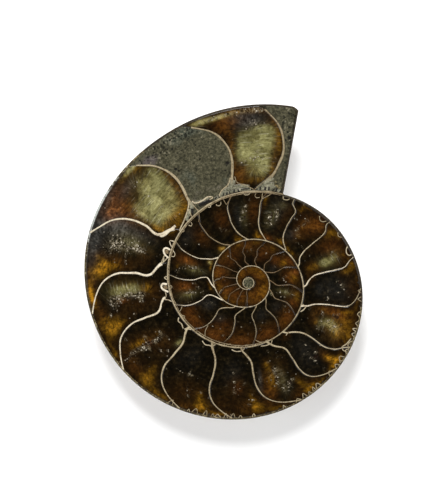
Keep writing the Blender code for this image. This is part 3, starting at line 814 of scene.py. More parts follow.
def chamber_calcite(wire):
    """Near black calcite that each kind of growth lightens, in needles, with gaps, painted shade
    along the walls and in the hollows, and painted glints.
    """
    place = wire.place()
    spoke = wire.field("spoke", "Vector")
    needles = spoke.clouds(1.5, 6.0, 0.66, 0.3)
    mist = place.clouds(0.42, 5.0, 0.6)
    fine = place.clouds(0.95, 5.0, 0.58)
    grit = place.clouds(2.4, 3.0, 0.6)
    facets = place.cells(1.15, "Color")
    blocks = place.cells(0.42, "Color")
    soft = (needles * 0.34 + mist * 0.18 + fine * 0.34 + grit * 0.14 - 0.5) * 11.0
    colour = (mist * 0.3 + fine * 0.7).ramp(
        (0.38, (0.0012, 0.0008, 0.0001)), (0.50, (0.0030, 0.0019, 0.0004)),
        (0.60, (0.0080, 0.0052, 0.0014)), (0.72, (0.022, 0.015, 0.006)),
    )
    for field, depth, block, *stops in (
        ("brown", 0.55, 0.1, (0.5, (0.013, 0.0046, 0.0004)), (1.0, (0.047, 0.0175, 0.0015))),
        ("cool", 0.60, 0.3, (0.5, (0.015, 0.0148, 0.0135)), (1.0, (0.053, 0.052, 0.047))),
        ("rust", 0.55, 0.2, (0.5, (0.045, 0.0130, 0.0016)), (1.0, (0.205, 0.070, 0.014))),
        ("gold", 0.42, 0.2, (0.25, (0.012, 0.0048, 0.0002)), (0.5, (0.053, 0.0250, 0.0008)),
         (0.75, (0.134, 0.062, 0.003)), (1.0, (0.30, 0.138, 0.006))),
        ("pale", 0.24, 0.34, (0.20, (0.020, 0.016, 0.005)), (0.38, (0.088, 0.080, 0.028)),
         (0.62, (0.190, 0.180, 0.074)), (0.85, (0.290, 0.275, 0.125)), (1.0, (0.46, 0.44, 0.26))),
    ):
        amount = wire.field(field) * (1.0 + soft * depth + (facets - 0.5) * block)
        colour = colour.towards(amount.ramp((0.0, (0.0, 0.0, 0.0)), *stops), 1.0, "ADD")

    # Fibres and blocks in the pale calcite, and grain in all of it.
    pale = wire.field("pale")
    fibre = spoke.stretch((3.0, 3.0, 0.45)).clouds(1.3, 3.0, 0.5, 0.2)
    colour = colour.towards((0.62, 0.60, 0.44), fibre.step(0.58, 0.70) * pale * 0.6)
    colour = colour.towards((0.035, 0.028, 0.009), fibre.step(0.44, 0.34) * pale * 0.5)
    tiles = blocks.ramp(
        (0.30, (0.62, 0.58, 0.46)), (0.50, (0.95, 0.95, 0.95)), (0.68, (1.3, 1.3, 1.25)),
    )
    colour = colour.towards(tiles, pale, "MULTIPLY")
    grain = (grit * 0.35 + needles * 0.65).ramp(
        (0.36, (0.50, 0.46, 0.40)), (0.50, (0.95, 0.95, 0.95)), (0.64, (1.35, 1.35, 1.35)),
    )
    colour = colour.towards(grain, 0.50, "MULTIPLY")

    # Painted shade: darker along the walls and in the hollows.
    shade = wire.field("edge").step(0.75, 0.15)
    colour = colour.towards((0.008, 0.0045, 0.001), shade * 0.55)
    colour = colour.towards((0.010, 0.0045, 0.0025), wire.field("hollow").step(0.10, 0.45) * 0.85)

    # Crystals: smears, the gaps between them, and small and large glints, painted into the colour
    # as highlights.
    spark = wire.field("spark")
    smear = (needles * 0.6 + grit * 0.4).step(0.47, 0.58) * spark.step(0.10, 0.8)
    colour = colour.towards((0.17, 0.140, 0.085), smear * 0.72)
    gap = (grit * 0.6 + needles * 0.4).step(0.49, 0.43) * spark.step(0.15, 0.6)
    colour = colour.towards((0.004, 0.0025, 0.001), gap * 0.8)
    small = (place.cells(2.3, "Color") + spark * 0.46).step(0.90, 1.04)
    small = small * place.cells(2.3).step(0.60, 0.36)
    large = (place.cells(1.25, "Color") + spark * 0.40).step(1.00, 1.12)
    large = large * (place.cells(1.25) + (grit - 0.5) * 0.8).step(0.46, 0.26)
    glint = small.math("MAXIMUM", small, large)
    white = (needles * 0.4 + grit * 0.6).ramp(
        (0.40, (0.12, 0.090, 0.052)), (0.50, (0.33, 0.28, 0.20)), (0.60, (0.66, 0.61, 0.50)),
    )
    white = white.towards((0.11, 0.085, 0.05), (1 - spark.step(0.35, 1.0)) * 0.55)
    colour = colour.towards(white, glint * 0.95)
    rough = 0.15 + glint * 0.25
    return colour, rough, needles * 0.3 + glint * 0.7, 0.03


calcite = stone_material("chamber_calcite", 0.25, chamber_calcite)

walls = [septum(at) for at in SEPTA]
outer_pairs = [(walls[0], walls[1]), *zip(walls[2:INNER_FROM], walls[3:])]
outer_chambers = fill_chambers("outer_chambers", outer_pairs, OUTER_CELL, calcite, GROWTHS)

# ---------------------------------------------------------------------------------------------
# Chambers that mud ran into before the calcite could grow: grey mudstone with bronze grains and
# small pits, in the open end of the shell, in its sawn face and in one closed chamber.

MUD_CELL = 0.36

# Patches as in the calcite: coarse grains, cool grey, cream and purple-grey mud.
MUD_GROWTHS = {
    "spark": ((117, 0.92, 18, 0.13, 0.95), (112, 0.60, 14, 0.3, 0.3), (74, 0.75, 6, 0.4, 0.8)),
    "cool": ((119, 0.40, 6, 0.20, 0.55), (112, 0.90, 12, 0.14, 0.7), (103, 0.20, 3, 0.10, 0.5),
             (72, 0.5, 4, 0.5, 0.3)),
    "pale": ((74.5, 0.085, 2.2, 0.03, 0.75), (72, 0.07, 2.2, 0.02, 0.6), (75, 0.13, 1, 0.02, 0.5)),
    "rust": ((129, 0.86, 5, 0.10, 0.9), (112, 0.14, 10, 0.06, 0.3), (120, 0.16, 6, 0.06, 0.3)),
    "hollow": (),
}

# Single pits: growth angle, place across the whorl, size in millimetres and depth.
MUD_PITS = (
    (74.4, 0.67, 0.55, 1.2), (99.9, 0.38, 0.55, 0.8), (101.6, 0.30, 0.35, 0.6),
    (122.6, 0.59, 0.45, 0.8), (121.8, 0.55, 0.4, 0.7), (121.2, 0.52, 0.3, 0.5),
    (113.5, 0.57, 0.25, 0.7), (117, 0.74, 0.2, 0.5), (110, 0.86, 0.2, 0.5),
    (104, 0.80, 0.2, 0.5), (75.6, 0.86, 0.2, 0.5), (100.8, 0.24, 0.25, 0.6),
)


def chamber_mudstone(wire):
    """Grey mud in fine grains, cooler, purple or cream in patches, with bright and dark specks, and
    painted shade along the walls and in the pits.
    """
    place = wire.place()
    mud = place.clouds(0.30, 6.0, 0.6)
    grain = place.clouds(1.4, 5.0, 0.8)
    tone = mud * 0.2 + grain * 0.8
    coarse = wire.field("spark") + (mud - 0.5) * 0.6
    colour = tone.ramp(
        (0.36, (0.009, 0.0085, 0.004)), (0.44, (0.027, 0.025, 0.013)),
        (0.51, (0.052, 0.048, 0.026)), (0.58, (0.090, 0.082, 0.047)), (0.67, (0.17, 0.150, 0.092)),
    )
    cool = tone.ramp(
        (0.34, (0.018, 0.023, 0.016)), (0.50, (0.046, 0.053, 0.037)), (0.64, (0.088, 0.094, 0.070)),
    )
    colour = colour.towards(cool, (wire.field("cool") + (mud - 0.5) * 1.4).step(0.25, 0.95))
    purple = tone.ramp(
        (0.36, (0.026, 0.020, 0.020)), (0.50, (0.068, 0.055, 0.050)), (0.64, (0.14, 0.12, 0.105)),
    )
    colour = colour.towards(purple, (wire.field("rust") + (mud - 0.5) * 1.4).step(0.25, 0.95))
    cells = place.cells(2.2, "Color")
    colour = colour.towards((0.20, 0.180, 0.12), (cells + coarse * 0.22).step(0.94, 1.0) * 0.6)
    dark = (cells - coarse * 0.26).step(0.10, 0.02)
    colour = colour.towards((0.007, 0.007, 0.004), dark * 0.9)
    cream = tone.ramp((0.38, (0.085, 0.058, 0.018)), (0.6, (0.34, 0.27, 0.13)))
    colour = colour.towards(cream, (wire.field("pale") + (grain - 0.5)).step(0.35, 0.9))
    # Painted shade along the walls and in the pits.
    colour = colour.towards((0.010, 0.009, 0.006), wire.field("edge").step(0.5, 0.1) * 0.7)
    colour = colour.towards((0.005, 0.004, 0.002), wire.field("hollow").step(0.1, 0.5))
    rough = 0.38 + (grain - 0.5) * 0.3
    return colour, rough, grain * 0.7 + mud * 0.3 - dark * 0.5, 0.04


mudstone = stone_material("chamber_mudstone", 0.15, chamber_mudstone)


def sawn_edge(place):
    """Growth angle of the sawn end, just inside its eased edge."""
    angle = START
    for _ in range(6):
        radius = max(whorl_point(angle, place).length, CUT_WHORL.length * 0.9)
        angle = cut_angle(radius) + math.degrees(RIM_INSET / radius)
    return angle


natural_flank.data.materials.append(mudstone)
sawn_end = next(face for face in natural_flank.data.polygons
                if len(face.vertices) > 20 and abs(face.normal.z) < 0.5)
sawn_end.material_index = 1
mud_pairs = [(sawn_edge, walls[0]), (walls[1], walls[2])]
fill_chambers("mudstone_chambers", mud_pairs, MUD_CELL, mudstone, MUD_GROWTHS, MUD_PITS)

# ---------------------------------------------------------------------------------------------
# Chambers of the earlier turns, filled in the same way. They grow darker and redder inwards, and
# the first turn, whose septa are too thin to see, is clear honey calcite.

CORE_FROM = 29
INNER_CELL = 0.30
CORE_CELL = 0.20
FIRST_TURN_END = 1335.0

inner_pairs = zip(walls[INNER_FROM:CORE_FROM], walls[INNER_FROM + 1:])
inner_chambers = fill_chambers("inner_chambers", inner_pairs, INNER_CELL, calcite, GROWTHS)
core_pairs = [*zip(walls[CORE_FROM:], walls[CORE_FROM + 1:]),
              (walls[-1], lambda place: FIRST_TURN_END)]
core_chambers = fill_chambers("core_chambers", core_pairs, CORE_CELL, calcite, GROWTHS)

# ---------------------------------------------------------------------------------------------
# Septa. Thin partitions of cream shell that closed off each chamber as the animal moved on. They
# meet the walls in spread feet, and stand a hair proud because shell polishes slower than calcite.

SECTION = ((-1.0, -0.6), (-1.0, 0.0), (-0.5, 1.0), (0.5, 1.0), (1.0, 0.0), (1.0, -0.6))
SEPTUM_RISE = 0.05
SEPTUM_FOOT = 0.35
WEB_FOOT = 1.5
WEBS_END = 140

# Growth angles, with half the width of a septum in millimetres and how white it is.
SEPTUM_HALF_WIDTHS = (
    (70, 0.36), (110, 0.38), (140, 0.40), (165, 0.36), (200, 0.30), (250, 0.26), (300, 0.225),
    (345, 0.18), (400, 0.16), (450, 0.15), (520, 0.135), (700, 0.12), (990, 0.10),
)
SEPTUM_WHITES = (
    (70, 0.31), (112, 0.37), (130, 0.52), (150, 0.80), (175, 0.90), (199, 0.82), (224, 0.52),
    (249, 0.42), (300, 0.44), (320, 0.52), (344, 0.88), (368, 0.80), (392, 0.54), (440, 0.46),
    (465, 0.46), (490, 0.16), (514, 0.74), (536, 0.80), (560, 0.84), (585, 0.42), (620, 0.34),
    (700, 0.08), (990, -0.10),
)


def read_off(table, angle):
    """The value at one growth angle, from a table of growth angles and values."""
    return smooth_between(*zip(*table), angle)


def new_store():
    return [], [], {"white": [], "web": [], "crown": []}


def ribbon(store, path, half, rise, closed=False, white=0.5, web=0.0):
    """Adds a strip of shell along a path on the face to a store of points, faces and fields."""
    points, faces, fields = store
    base = len(points)
    count = len(path)
    whites = white if isinstance(white, list) else [white] * count
    webs = web if isinstance(web, list) else [web] * count
    for k, here in enumerate(path):
        before = path[k - 1] if k or closed else path[0]
        after = path[(k + 1) % count] if k < count - 1 or closed else path[-1]
        along = (after - before).normalized()
        side = Vector((-along.y, along.x))
        for across, up in SECTION:
            place = here + side * (across * half[k])
            points.append((place.x, place.y, rise * up if up > 0 else up))
            fields["white"].append(whites[k])
            fields["web"].append(webs[k])
            fields["crown"].append(1.0 if abs(across) < 0.6 else 0.0)
    wide = len(SECTION)
    for k in range(count if closed else count - 1):
        here = base + k * wide
        there = base + ((k + 1) % count) * wide
        for s in range(wide):
            nxt = (s + 1) % wide
            faces.append((here + s, here + nxt, there + nxt, there + s))
    if not closed:
        faces.append(tuple(base + s for s in reversed(range(wide))))
        faces.append(tuple(base + (count - 1) * wide + s for s in range(wide)))


def pearly_shell(wire):
    """Shell cut across, from black through brown to white, with grey webs and darker sides."""
    place = wire.place()
    soft = place.clouds(0.6, 5.0, 0.6)
    fine = place.clouds(2.4, 4.0, 0.6)
    tone = soft * 0.5 + fine * 0.5
    colour = (wire.field("white") * 0.5 + 0.5).ramp(
        (0.30, (0.007, 0.006, 0.004)), (0.50, (0.14, 0.086, 0.036)), (0.62, (0.26, 0.205, 0.115)),
        (0.75, (0.42, 0.350, 0.222)), (0.88, (0.64, 0.560, 0.405)), (1.00, (0.82, 0.74, 0.58)),
    )
    mottle = tone.ramp(
        (0.36, (0.42, 0.36, 0.30)), (0.50, (0.88, 0.87, 0.85)), (0.60, (1.0, 1.0, 1.0)),
    )
    colour = colour.towards(mottle, 1.0, "MULTIPLY")
    web = tone.ramp(
        (0.36, (0.055, 0.052, 0.030)), (0.50, (0.145, 0.140, 0.092)), (0.62, (0.27, 0.255, 0.175)),
    )
    colour = colour.towards(web, wire.field("web"))
    colour = colour.towards((0.050, 0.026, 0.009), (1 - wire.field("crown")) * 0.55)
    return colour, 0.34 + (fine - 0.5) * 0.25, soft * 0.4 + fine * 0.6, 0.02


shell_cut = stone_material("pearly_shell", 0.25, pearly_shell)

septa_store = new_store()
for at, line in zip(SEPTA, walls):
    half = read_off(SEPTUM_HALF_WIDTHS, at)
    white = read_off(SEPTUM_WHITES, at)
    foot = WEB_FOOT if at < WEBS_END else SEPTUM_FOOT
    low = 0.085 if at < WEBS_END else 0.075 if at < 215 else 0.0
    high = 0.955 if at < 90 else 0.935 if at < 130 else 1.0
    steps = 56 if at < 450 else 40
    path, widths, whites, webs = [], [], [], []
    for k in range(steps + 1):
        place = low + (high - low) * (0.5 - 0.5 * math.cos(math.pi * k / steps))
        wobble = 0.25 * noise.noise(Vector((at, place * 7.0, 0.0)))
        path.append(whorl_point(line(place) + wobble, place))
        spread = foot * math.exp((low - place) / 0.04)
        spread += 0.5 * SEPTUM_FOOT * math.exp(-(1 - place) / 0.02)
        thick = 0.95 + 0.35 * noise.noise(Vector((place * 9.0, at, 2.0)))
        widths.append(half * (thick * (1.25 - 0.70 * place) + spread))
        worn = min(1.0, max(0.0, (place - (0.68 if at < 430 else 0.76)) / 0.14))
        whites.append(white - (0.46 * worn if at > 430 or 340 < at < 350 else 0.0))
        webs.append(min(1.0, max(0.0, (0.20 - place) / 0.09)) if at < WEBS_END else 0.0)
    ribbon(septa_store, path, widths, SEPTUM_RISE, white=whites, web=webs)
make_piece("septa", *septa_store, shell_cut)

# ---------------------------------------------------------------------------------------------
# Inner wall. The shell wall of each earlier turn, seen as one spiral line: a thick outer layer
# and, on the widest turn, a thin second layer just inside it, tied to it by short struts.

WALL_RISE = 0.07
WALL_START = RIM_END + 0.5
WALL_END = FIRST_TURN_END + 10.0
LAYER_START = RIM_END + 2.0
LAYER_END = 650.0
LAYER_RISE = 0.05
LAYER_HALF_WIDTH = 0.12
STRUT_HALF_WIDTH = 0.09
STRUT_LEAN = 1.2
STRUT_SHARE = 0.3

# Growth angles, with half the width of the wall, how white it is, and the second layer's inset.
WALL_HALF_WIDTHS = (
    (420, 0.17), (450, 0.23), (520, 0.22), (600, 0.22), (680, 0.17), (720, 0.17), (800, 0.15),
    (900, 0.13), (1345, 0.11),
)
WALL_WHITES = (
    (420, 0.18), (445, 0.28), (480, 0.42), (560, 0.42), (600, 0.36), (640, 0.32), (740, 0.44),
    (800, 0.42), (868, 0.50), (920, 0.52), (1345, 0.52),
)
LAYER_INSETS = (
    (425, 0.36), (460, 0.40), (500, 0.42), (560, 0.42), (590, 0.62), (615, 0.62), (650, 0.30),
)

wall_store = new_store()
path, widths, whites = [], [], []
angle = WALL_START
while angle < WALL_END:
    radius = wall_radius(angle) + 0.05 * noise.noise(Vector((angle * 0.08, 0.0, 5.0)))
    path.append(polar(radius, angle))
    uneven = 1.0 + 0.7 * noise.noise(Vector((angle * 0.2, 1.0, 0.0)))
    widths.append(read_off(WALL_HALF_WIDTHS, angle) * uneven)
    mottle = 0.16 * noise.noise(Vector((angle * 0.12, 2.0, 7.0)))
    whites.append(read_off(WALL_WHITES, angle) + mottle)
    angle += max(0.7, min(4.0, 26.0 / radius))
ribbon(wall_store, path, widths, WALL_RISE, white=whites)

path, widths = [], []
angle = LAYER_START
chance = random.Random(11)
while angle < LAYER_END:
    inset = read_off(LAYER_INSETS, angle) + 0.14 * noise.noise(Vector((angle * 0.15, 4.0, 0.0)))
    path.append(polar(wall_radius(angle) - inset, angle))
    uneven = 1.0 + 0.7 * noise.noise(Vector((angle * 0.3, 8.0, 0.0)))
    widths.append(LAYER_HALF_WIDTH * uneven)
    if chance.random() < STRUT_SHARE:
        top = polar(wall_radius(angle), angle + chance.uniform(-STRUT_LEAN, STRUT_LEAN))
        ribbon(wall_store, [path[-1], top], [STRUT_HALF_WIDTH] * 2, LAYER_RISE, white=0.3)
    angle += 1.0
ribbon(wall_store, path, widths, LAYER_RISE, white=0.18)
make_piece("inner_wall", *wall_store, shell_cut)

# ---------------------------------------------------------------------------------------------
# Folds of the septa along both edges of the whorl. Where a frilled septum edge and the tube
# through the chambers are cut across, they show as small cream loops, forks and struts.

STEPS_PER_MARK = 5
BLACK = -0.95

fold_store = new_store()


def stroke(white, half, *marks, rise=0.05, web=0.0):
    """One strip of shell through marks on the whorl, each a growth angle and a place."""
    whole = range(len(marks))
    path = []
    for k in range(STEPS_PER_MARK * whole[-1] + 1):
        at = min(k / STEPS_PER_MARK, whole[-1] - 1e-6)
        path.append(whorl_point(*(smooth_between(whole, part, at) for part in zip(*marks))))
    widths = [half * (1.0 + 0.25 * noise.noise(point.to_3d() * 1.1)) for point in path]
    ribbon(fold_store, path, widths, rise, white=white, web=web)


# Grey webs at the feet of the first septa.
for white, half, *marks in (
    (0.3, 0.50, (70.5, 0.030), (78.0, 0.032), (84.5, 0.026)),
    (0.3, 0.50, (88.5, 0.026), (96.0, 0.036), (112.0, 0.028)),
    (0.3, 0.75, (77.0, 0.17), (79.0, 0.125), (81.5, 0.080)),
    (0.3, 0.60, (75.5, 0.10), (79.0, 0.085), (84.5, 0.050)),
    (0.3, 0.55, (74.0, 0.060), (78.0, 0.062), (83.0, 0.050)),
    (0.3, 1.05, (98.8, 0.17), (99.6, 0.13), (100.4, 0.09)),
    (0.3, 0.70, (89.5, 0.050), (96.0, 0.078), (106.0, 0.062)),
    (0.3, 0.75, (102.0, 0.075), (104.5, 0.055), (107.5, 0.035)),
    (0.3, 0.75, (84.6, 0.030), (81.5, 0.085), (78.8, 0.130)),
    (0.3, 0.70, (126.0, 0.15), (126.4, 0.11), (127.2, 0.080)),
    (0.3, 0.42, (124.5, 0.120), (119.5, 0.085), (114.6, 0.070)),
    (0.4, 0.55, (128.6, 0.095), (131.0, 0.055), (135.0, 0.026)),
):
    stroke(white, half, *marks, rise=0.03, web=1.0)

# Dark gaps and cream struts over the webs.
for white, half, *marks in (
    (BLACK, 0.60, (114.0, 0.030), (118.0, 0.042), (122.5, 0.058)),
    (BLACK, 0.42, (127.2, 0.085), (127.9, 0.060), (128.6, 0.030)),
    (BLACK, 0.20, (131.6, 0.034), (132.8, 0.020)),
    (BLACK, 0.26, (89.2, 0.030), (92.0, 0.036), (94.6, 0.036)),
    (0.20, 0.11, (78.4, 0.190), (81.2, 0.115), (84.0, 0.060), (86.4, 0.018)),
    (-0.60, 0.09, (79.0, 0.200), (82.0, 0.120), (84.8, 0.066), (87.2, 0.022)),
    (0.26, 0.13, (86.8, 0.020), (89.8, 0.056), (93.8, 0.096), (96.6, 0.130), (97.4, 0.20)),
    (0.42, 0.17, (99.8, 0.20), (101.8, 0.126), (106.3, 0.082), (109.0, 0.026)),
    (0.60, 0.24, (124.6, 0.150), (123.4, 0.104), (119.1, 0.082), (115.4, 0.086), (113.4, 0.066)),
    (0.50, 0.18, (113.4, 0.072), (112.8, 0.048), (115.0, 0.044)),
    (0.52, 0.20, (126.4, 0.170), (128.0, 0.130), (131.5, 0.084), (136.8, 0.040), (143.0, 0.016)),
    (0.40, 0.14, (125.4, 0.120), (125.2, 0.06), (124.8, 0.010)),
    (0.45, 0.12, (129.4, 0.105), (129.8, 0.055), (130.6, 0.012)),
    (0.80, 0.36, (151.4, 0.22), (151.4, 0.165), (148.4, 0.130), (145.0, 0.110), (141.8, 0.090)),
    (-0.9, 0.08, (172.6, 0.185), (170.0, 0.145), (167.4, 0.112)),
    (-0.9, 0.08, (196.8, 0.195), (194.0, 0.140), (191.0, 0.112)),
    (-0.9, 0.08, (149.0, 0.140), (146.0, 0.116), (143.0, 0.098)),
):
    stroke(white, half, *marks, rise=0.045 if white < 0 else 0.06)

# The row of dark cells along the wall.
chance = random.Random(4)
angle = 71.2
while angle < 112.0:
    if not 85.0 < angle < 95.0:
        low, high = chance.uniform(0.012, 0.018), chance.uniform(0.040, 0.062)
        lean = chance.uniform(-1.4, 0.5)
        stroke(BLACK, chance.uniform(0.24, 0.44), (angle, low), (angle + lean, high))
    angle += chance.uniform(2.0, 3.2)

# Rings and forks along the inner wall.
for white, half, *marks in (
    (0.75, 0.15, (150.8, 0.01), (151.6, 0.055), (152.8, 0.050), (154.8, 0.012)),
    (0.95, 0.28, (157.0, 0.012), (157.0, 0.070), (158.6, 0.088), (160.4, 0.074), (161.8, 0.042),
     (162.6, 0.012)),
    (0.50, 0.14, (161.5, 0.060), (164.5, 0.075), (167.6, 0.085)),
    (0.50, 0.14, (162.6, 0.020), (165.0, 0.045), (167.0, 0.075)),
    (0.60, 0.13, (162.5, 0.070), (165.5, 0.060), (168.5, 0.095)),
    (0.55, 0.13, (175.4, 0.010), (176.4, 0.040), (177.8, 0.010)),
    (0.95, 0.31, (180.8, 0.015), (180.8, 0.070), (182.6, 0.090), (184.6, 0.068), (186.4, 0.018)),
    (0.60, 0.13, (185.5, 0.055), (188.5, 0.055), (191.0, 0.085)),
    (0.62, 0.14, (191.2, 0.085), (192.0, 0.045), (193.6, 0.015)),
    (0.60, 0.17, (206.4, 0.030), (208.5, 0.062), (211.5, 0.052), (215.0, 0.075)),
    (0.60, 0.14, (215.6, 0.070), (217.2, 0.035), (219.2, 0.012)),
    (0.55, 0.16, (231.4, 0.045), (235.0, 0.072), (238.0, 0.058), (241.0, 0.062)),
    (0.50, 0.13, (240.4, 0.055), (241.8, 0.015)),
    (0.55, 0.15, (255.8, 0.035), (259.5, 0.056), (264.0, 0.052)),
    (0.50, 0.13, (264.8, 0.055), (266.4, 0.015)),
    (0.50, 0.14, (281.0, 0.028), (285.5, 0.046), (290.0, 0.050)),
    (0.50, 0.13, (290.6, 0.055), (292.4, 0.015)),
    (0.50, 0.15, (305.4, 0.078), (307.5, 0.066), (309.5, 0.075)),
    (0.55, 0.16, (331.0, 0.030), (334.0, 0.062), (337.4, 0.085)),
    (0.50, 0.13, (337.4, 0.080), (338.6, 0.015)),
):
    stroke(white, half, *marks)

# Dark fillings of the two widest rings.
for at, place in ((159.2, 0.052), (183.2, 0.046)):
    stroke(0.10, 0.55, (at - 1.4, place), (at + 1.2, place * 0.8), rise=0.02)

# Rings and forks along the outer wall.
for white, half, *marks in (
    (0.40, 0.13, (319.6, 0.995), (320.2, 0.940), (321.4, 0.935), (322.2, 0.990)),
    (0.50, 0.15, (325.6, 0.880), (324.6, 0.925), (325.0, 0.985)),
    (0.50, 0.16, (325.8, 0.885), (328.0, 0.925), (331.6, 0.960)),
    (0.40, 0.12, (327.0, 0.985), (328.6, 0.950), (330.6, 0.985)),
    (0.62, 0.15, (375.4, 0.985), (375.4, 0.940), (376.8, 0.915), (379.0, 0.940), (380.2, 0.985)),
    (0.36, 0.13, (386.0, 0.985), (387.5, 0.945), (389.5, 0.975)),
    (0.30, 0.13, (398.6, 0.960), (399.6, 0.905), (401.4, 0.895), (403.4, 0.950)),
    (0.40, 0.13, (424.0, 0.975), (425.0, 0.940), (426.8, 0.930), (428.4, 0.955)),
    (0.20, 0.12, (435.2, 0.980), (438.0, 0.900), (441.0, 0.840)),
    (0.30, 0.12, (442.6, 0.870), (444.6, 0.865), (445.8, 0.905), (445.2, 0.955)),
    (0.30, 0.11, (441.0, 0.840), (441.2, 0.960)),
    (0.44, 0.12, (449.2, 0.960), (450.4, 0.935), (452.2, 0.938), (453.0, 0.962)),
    (0.14, 0.11, (461.0, 0.975), (463.4, 0.890), (465.8, 0.830)),
    (0.14, 0.11, (465.8, 0.830), (466.8, 0.960)),
    (0.46, 0.13, (468.8, 0.930), (469.4, 0.885), (470.6, 0.868), (472.0, 0.890), (472.4, 0.930)),
    (0.60, 0.11, (475.8, 0.965), (476.8, 0.935), (478.2, 0.960)),
    (0.14, 0.11, (485.2, 0.975), (487.0, 0.890), (489.2, 0.830)),
    (0.50, 0.12, (493.4, 0.945), (493.8, 0.900), (495.2, 0.890), (496.0, 0.940)),
    (0.50, 0.11, (500.2, 0.970), (501.4, 0.940), (502.6, 0.970)),
    (0.60, 0.12, (516.6, 0.960), (518.4, 0.900), (520.4, 0.905), (520.8, 0.960)),
    (0.36, 0.11, (541.6, 0.970), (542.6, 0.930), (544.2, 0.960)),
    (0.34, 0.11, (559.6, 0.860), (561.6, 0.920), (562.4, 0.965)),
    (0.30, 0.10, (586.4, 0.700), (588.2, 0.850), (591.2, 0.965)),
    (0.30, 0.10, (566.0, 0.965), (567.4, 0.925), (568.8, 0.960)),
    (0.26, 0.10, (637.0, 0.860), (640.0, 0.930), (643.0, 0.965)),
    (0.26, 0.10, (612.0, 0.965), (613.5, 0.930), (615.0, 0.965)),
    (0.20, 0.09, (868.0, 0.720), (870.0, 0.860), (872.5, 0.965)),
    (0.20, 0.09, (892.0, 0.740), (894.0, 0.880), (900.0, 0.965)),
    (0.20, 0.09, (914.0, 0.760), (917.0, 0.880), (921.0, 0.965)),
):
    stroke(white, half, *marks)

# Frills along the rim of the last half turn: small loops over dark cells, and dark notches.
angle = 236.0
while angle < 362.0:
    wide = chance.uniform(1.2, 2.8)
    if chance.random() < 0.6:
        tall = chance.uniform(0.935, 0.970)
        left, right = angle + 0.35 * wide, angle + 0.65 * wide
        stroke(-0.9, 0.24, (left, 0.5 + 0.5 * tall), (right, 0.5 + 0.5 * tall), rise=0.02)
        stroke(chance.uniform(0.2, 0.55), chance.uniform(0.09, 0.14), (angle, 0.998), (left, tall),
               (right, tall + chance.uniform(-0.012, 0.02)), (angle + wide, 0.998))
    elif chance.random() < 0.5:
        tip = (angle + 0.4 * wide, chance.uniform(0.95, 0.975))
        stroke(BLACK, 0.16, (angle, 0.985), tip, rise=0.02)
    angle += wide * chance.uniform(0.9, 1.9)
make_piece("septum_folds", *fold_store, shell_cut)

# ---------------------------------------------------------------------------------------------
# First chamber. The bead of grey-green stone at the very centre, in its own ring of shell.

BEAD_RADIUS = CORE_RADIUS - 0.05
BEAD_DEPTH = 0.8
BEAD_SIDES = 32
BEAD_RINGS = 6
BEAD_WALL_HALF_WIDTH = 0.11
BEAD_WALL_RISE = 0.06
BEAD_WALL_SIDES = 40

points, faces = [(0.0, 0.0, FILL_LEVEL)], []
for ring_at in range(1, BEAD_RINGS + 1):
    for k in range(BEAD_SIDES):
        place = polar(BEAD_RADIUS * ring_at / BEAD_RINGS, 360.0 * k / BEAD_SIDES)
        points.append((*place, FILL_LEVEL))
points += [(x, y, -BEAD_DEPTH) for x, y, _ in points[-BEAD_SIDES:]]
for k in range(BEAD_SIDES):
    nxt = (k + 1) % BEAD_SIDES
    faces.append((0, 1 + k, 1 + nxt))
    for ring_at in range(BEAD_RINGS):
        low = 1 + ring_at * BEAD_SIDES
        high = low + BEAD_SIDES
        faces.append((low + k, high + k, high + nxt, low + nxt))
faces.append(tuple(reversed(range(len(points) - BEAD_SIDES, len(points)))))


def bead_stone(wire):
    """Grey-green stone in coarse specks."""
    place = wire.place()
    specks = place.cells(2.6, "Color")
    fine = place.clouds(3.0, 4.0)
    colour = (specks * 0.6 + fine * 0.4).ramp(
        (0.30, (0.010, 0.011, 0.005)), (0.48, (0.040, 0.038, 0.019)), (0.70, (0.135, 0.122, 0.070)),
    )
    return colour, 0.25 + fine * 0.1, specks, 0.03


make_piece("first_chamber", points, faces, {}, stone_material("bead_stone", 0.3, bead_stone))
bead_store = new_store()
path = [polar(CORE_RADIUS, 360.0 * k / BEAD_WALL_SIDES) for k in range(BEAD_WALL_SIDES)]
widths = [BEAD_WALL_HALF_WIDTH] * BEAD_WALL_SIDES
ribbon(bead_store, path, widths, BEAD_WALL_RISE, closed=True)
make_piece("first_wall", *bead_store, shell_cut)

# ---------------------------------------------------------------------------------------------
# Crystals. Small points of white and honey calcite that line the hollows in the chambers and
# catch the light. One tree scatters them where the fillings are marked as sparkling.

CRYSTALS = {"Length": 0.00026, "Crystals per square metre": 1500000.0, "Seed": 7}


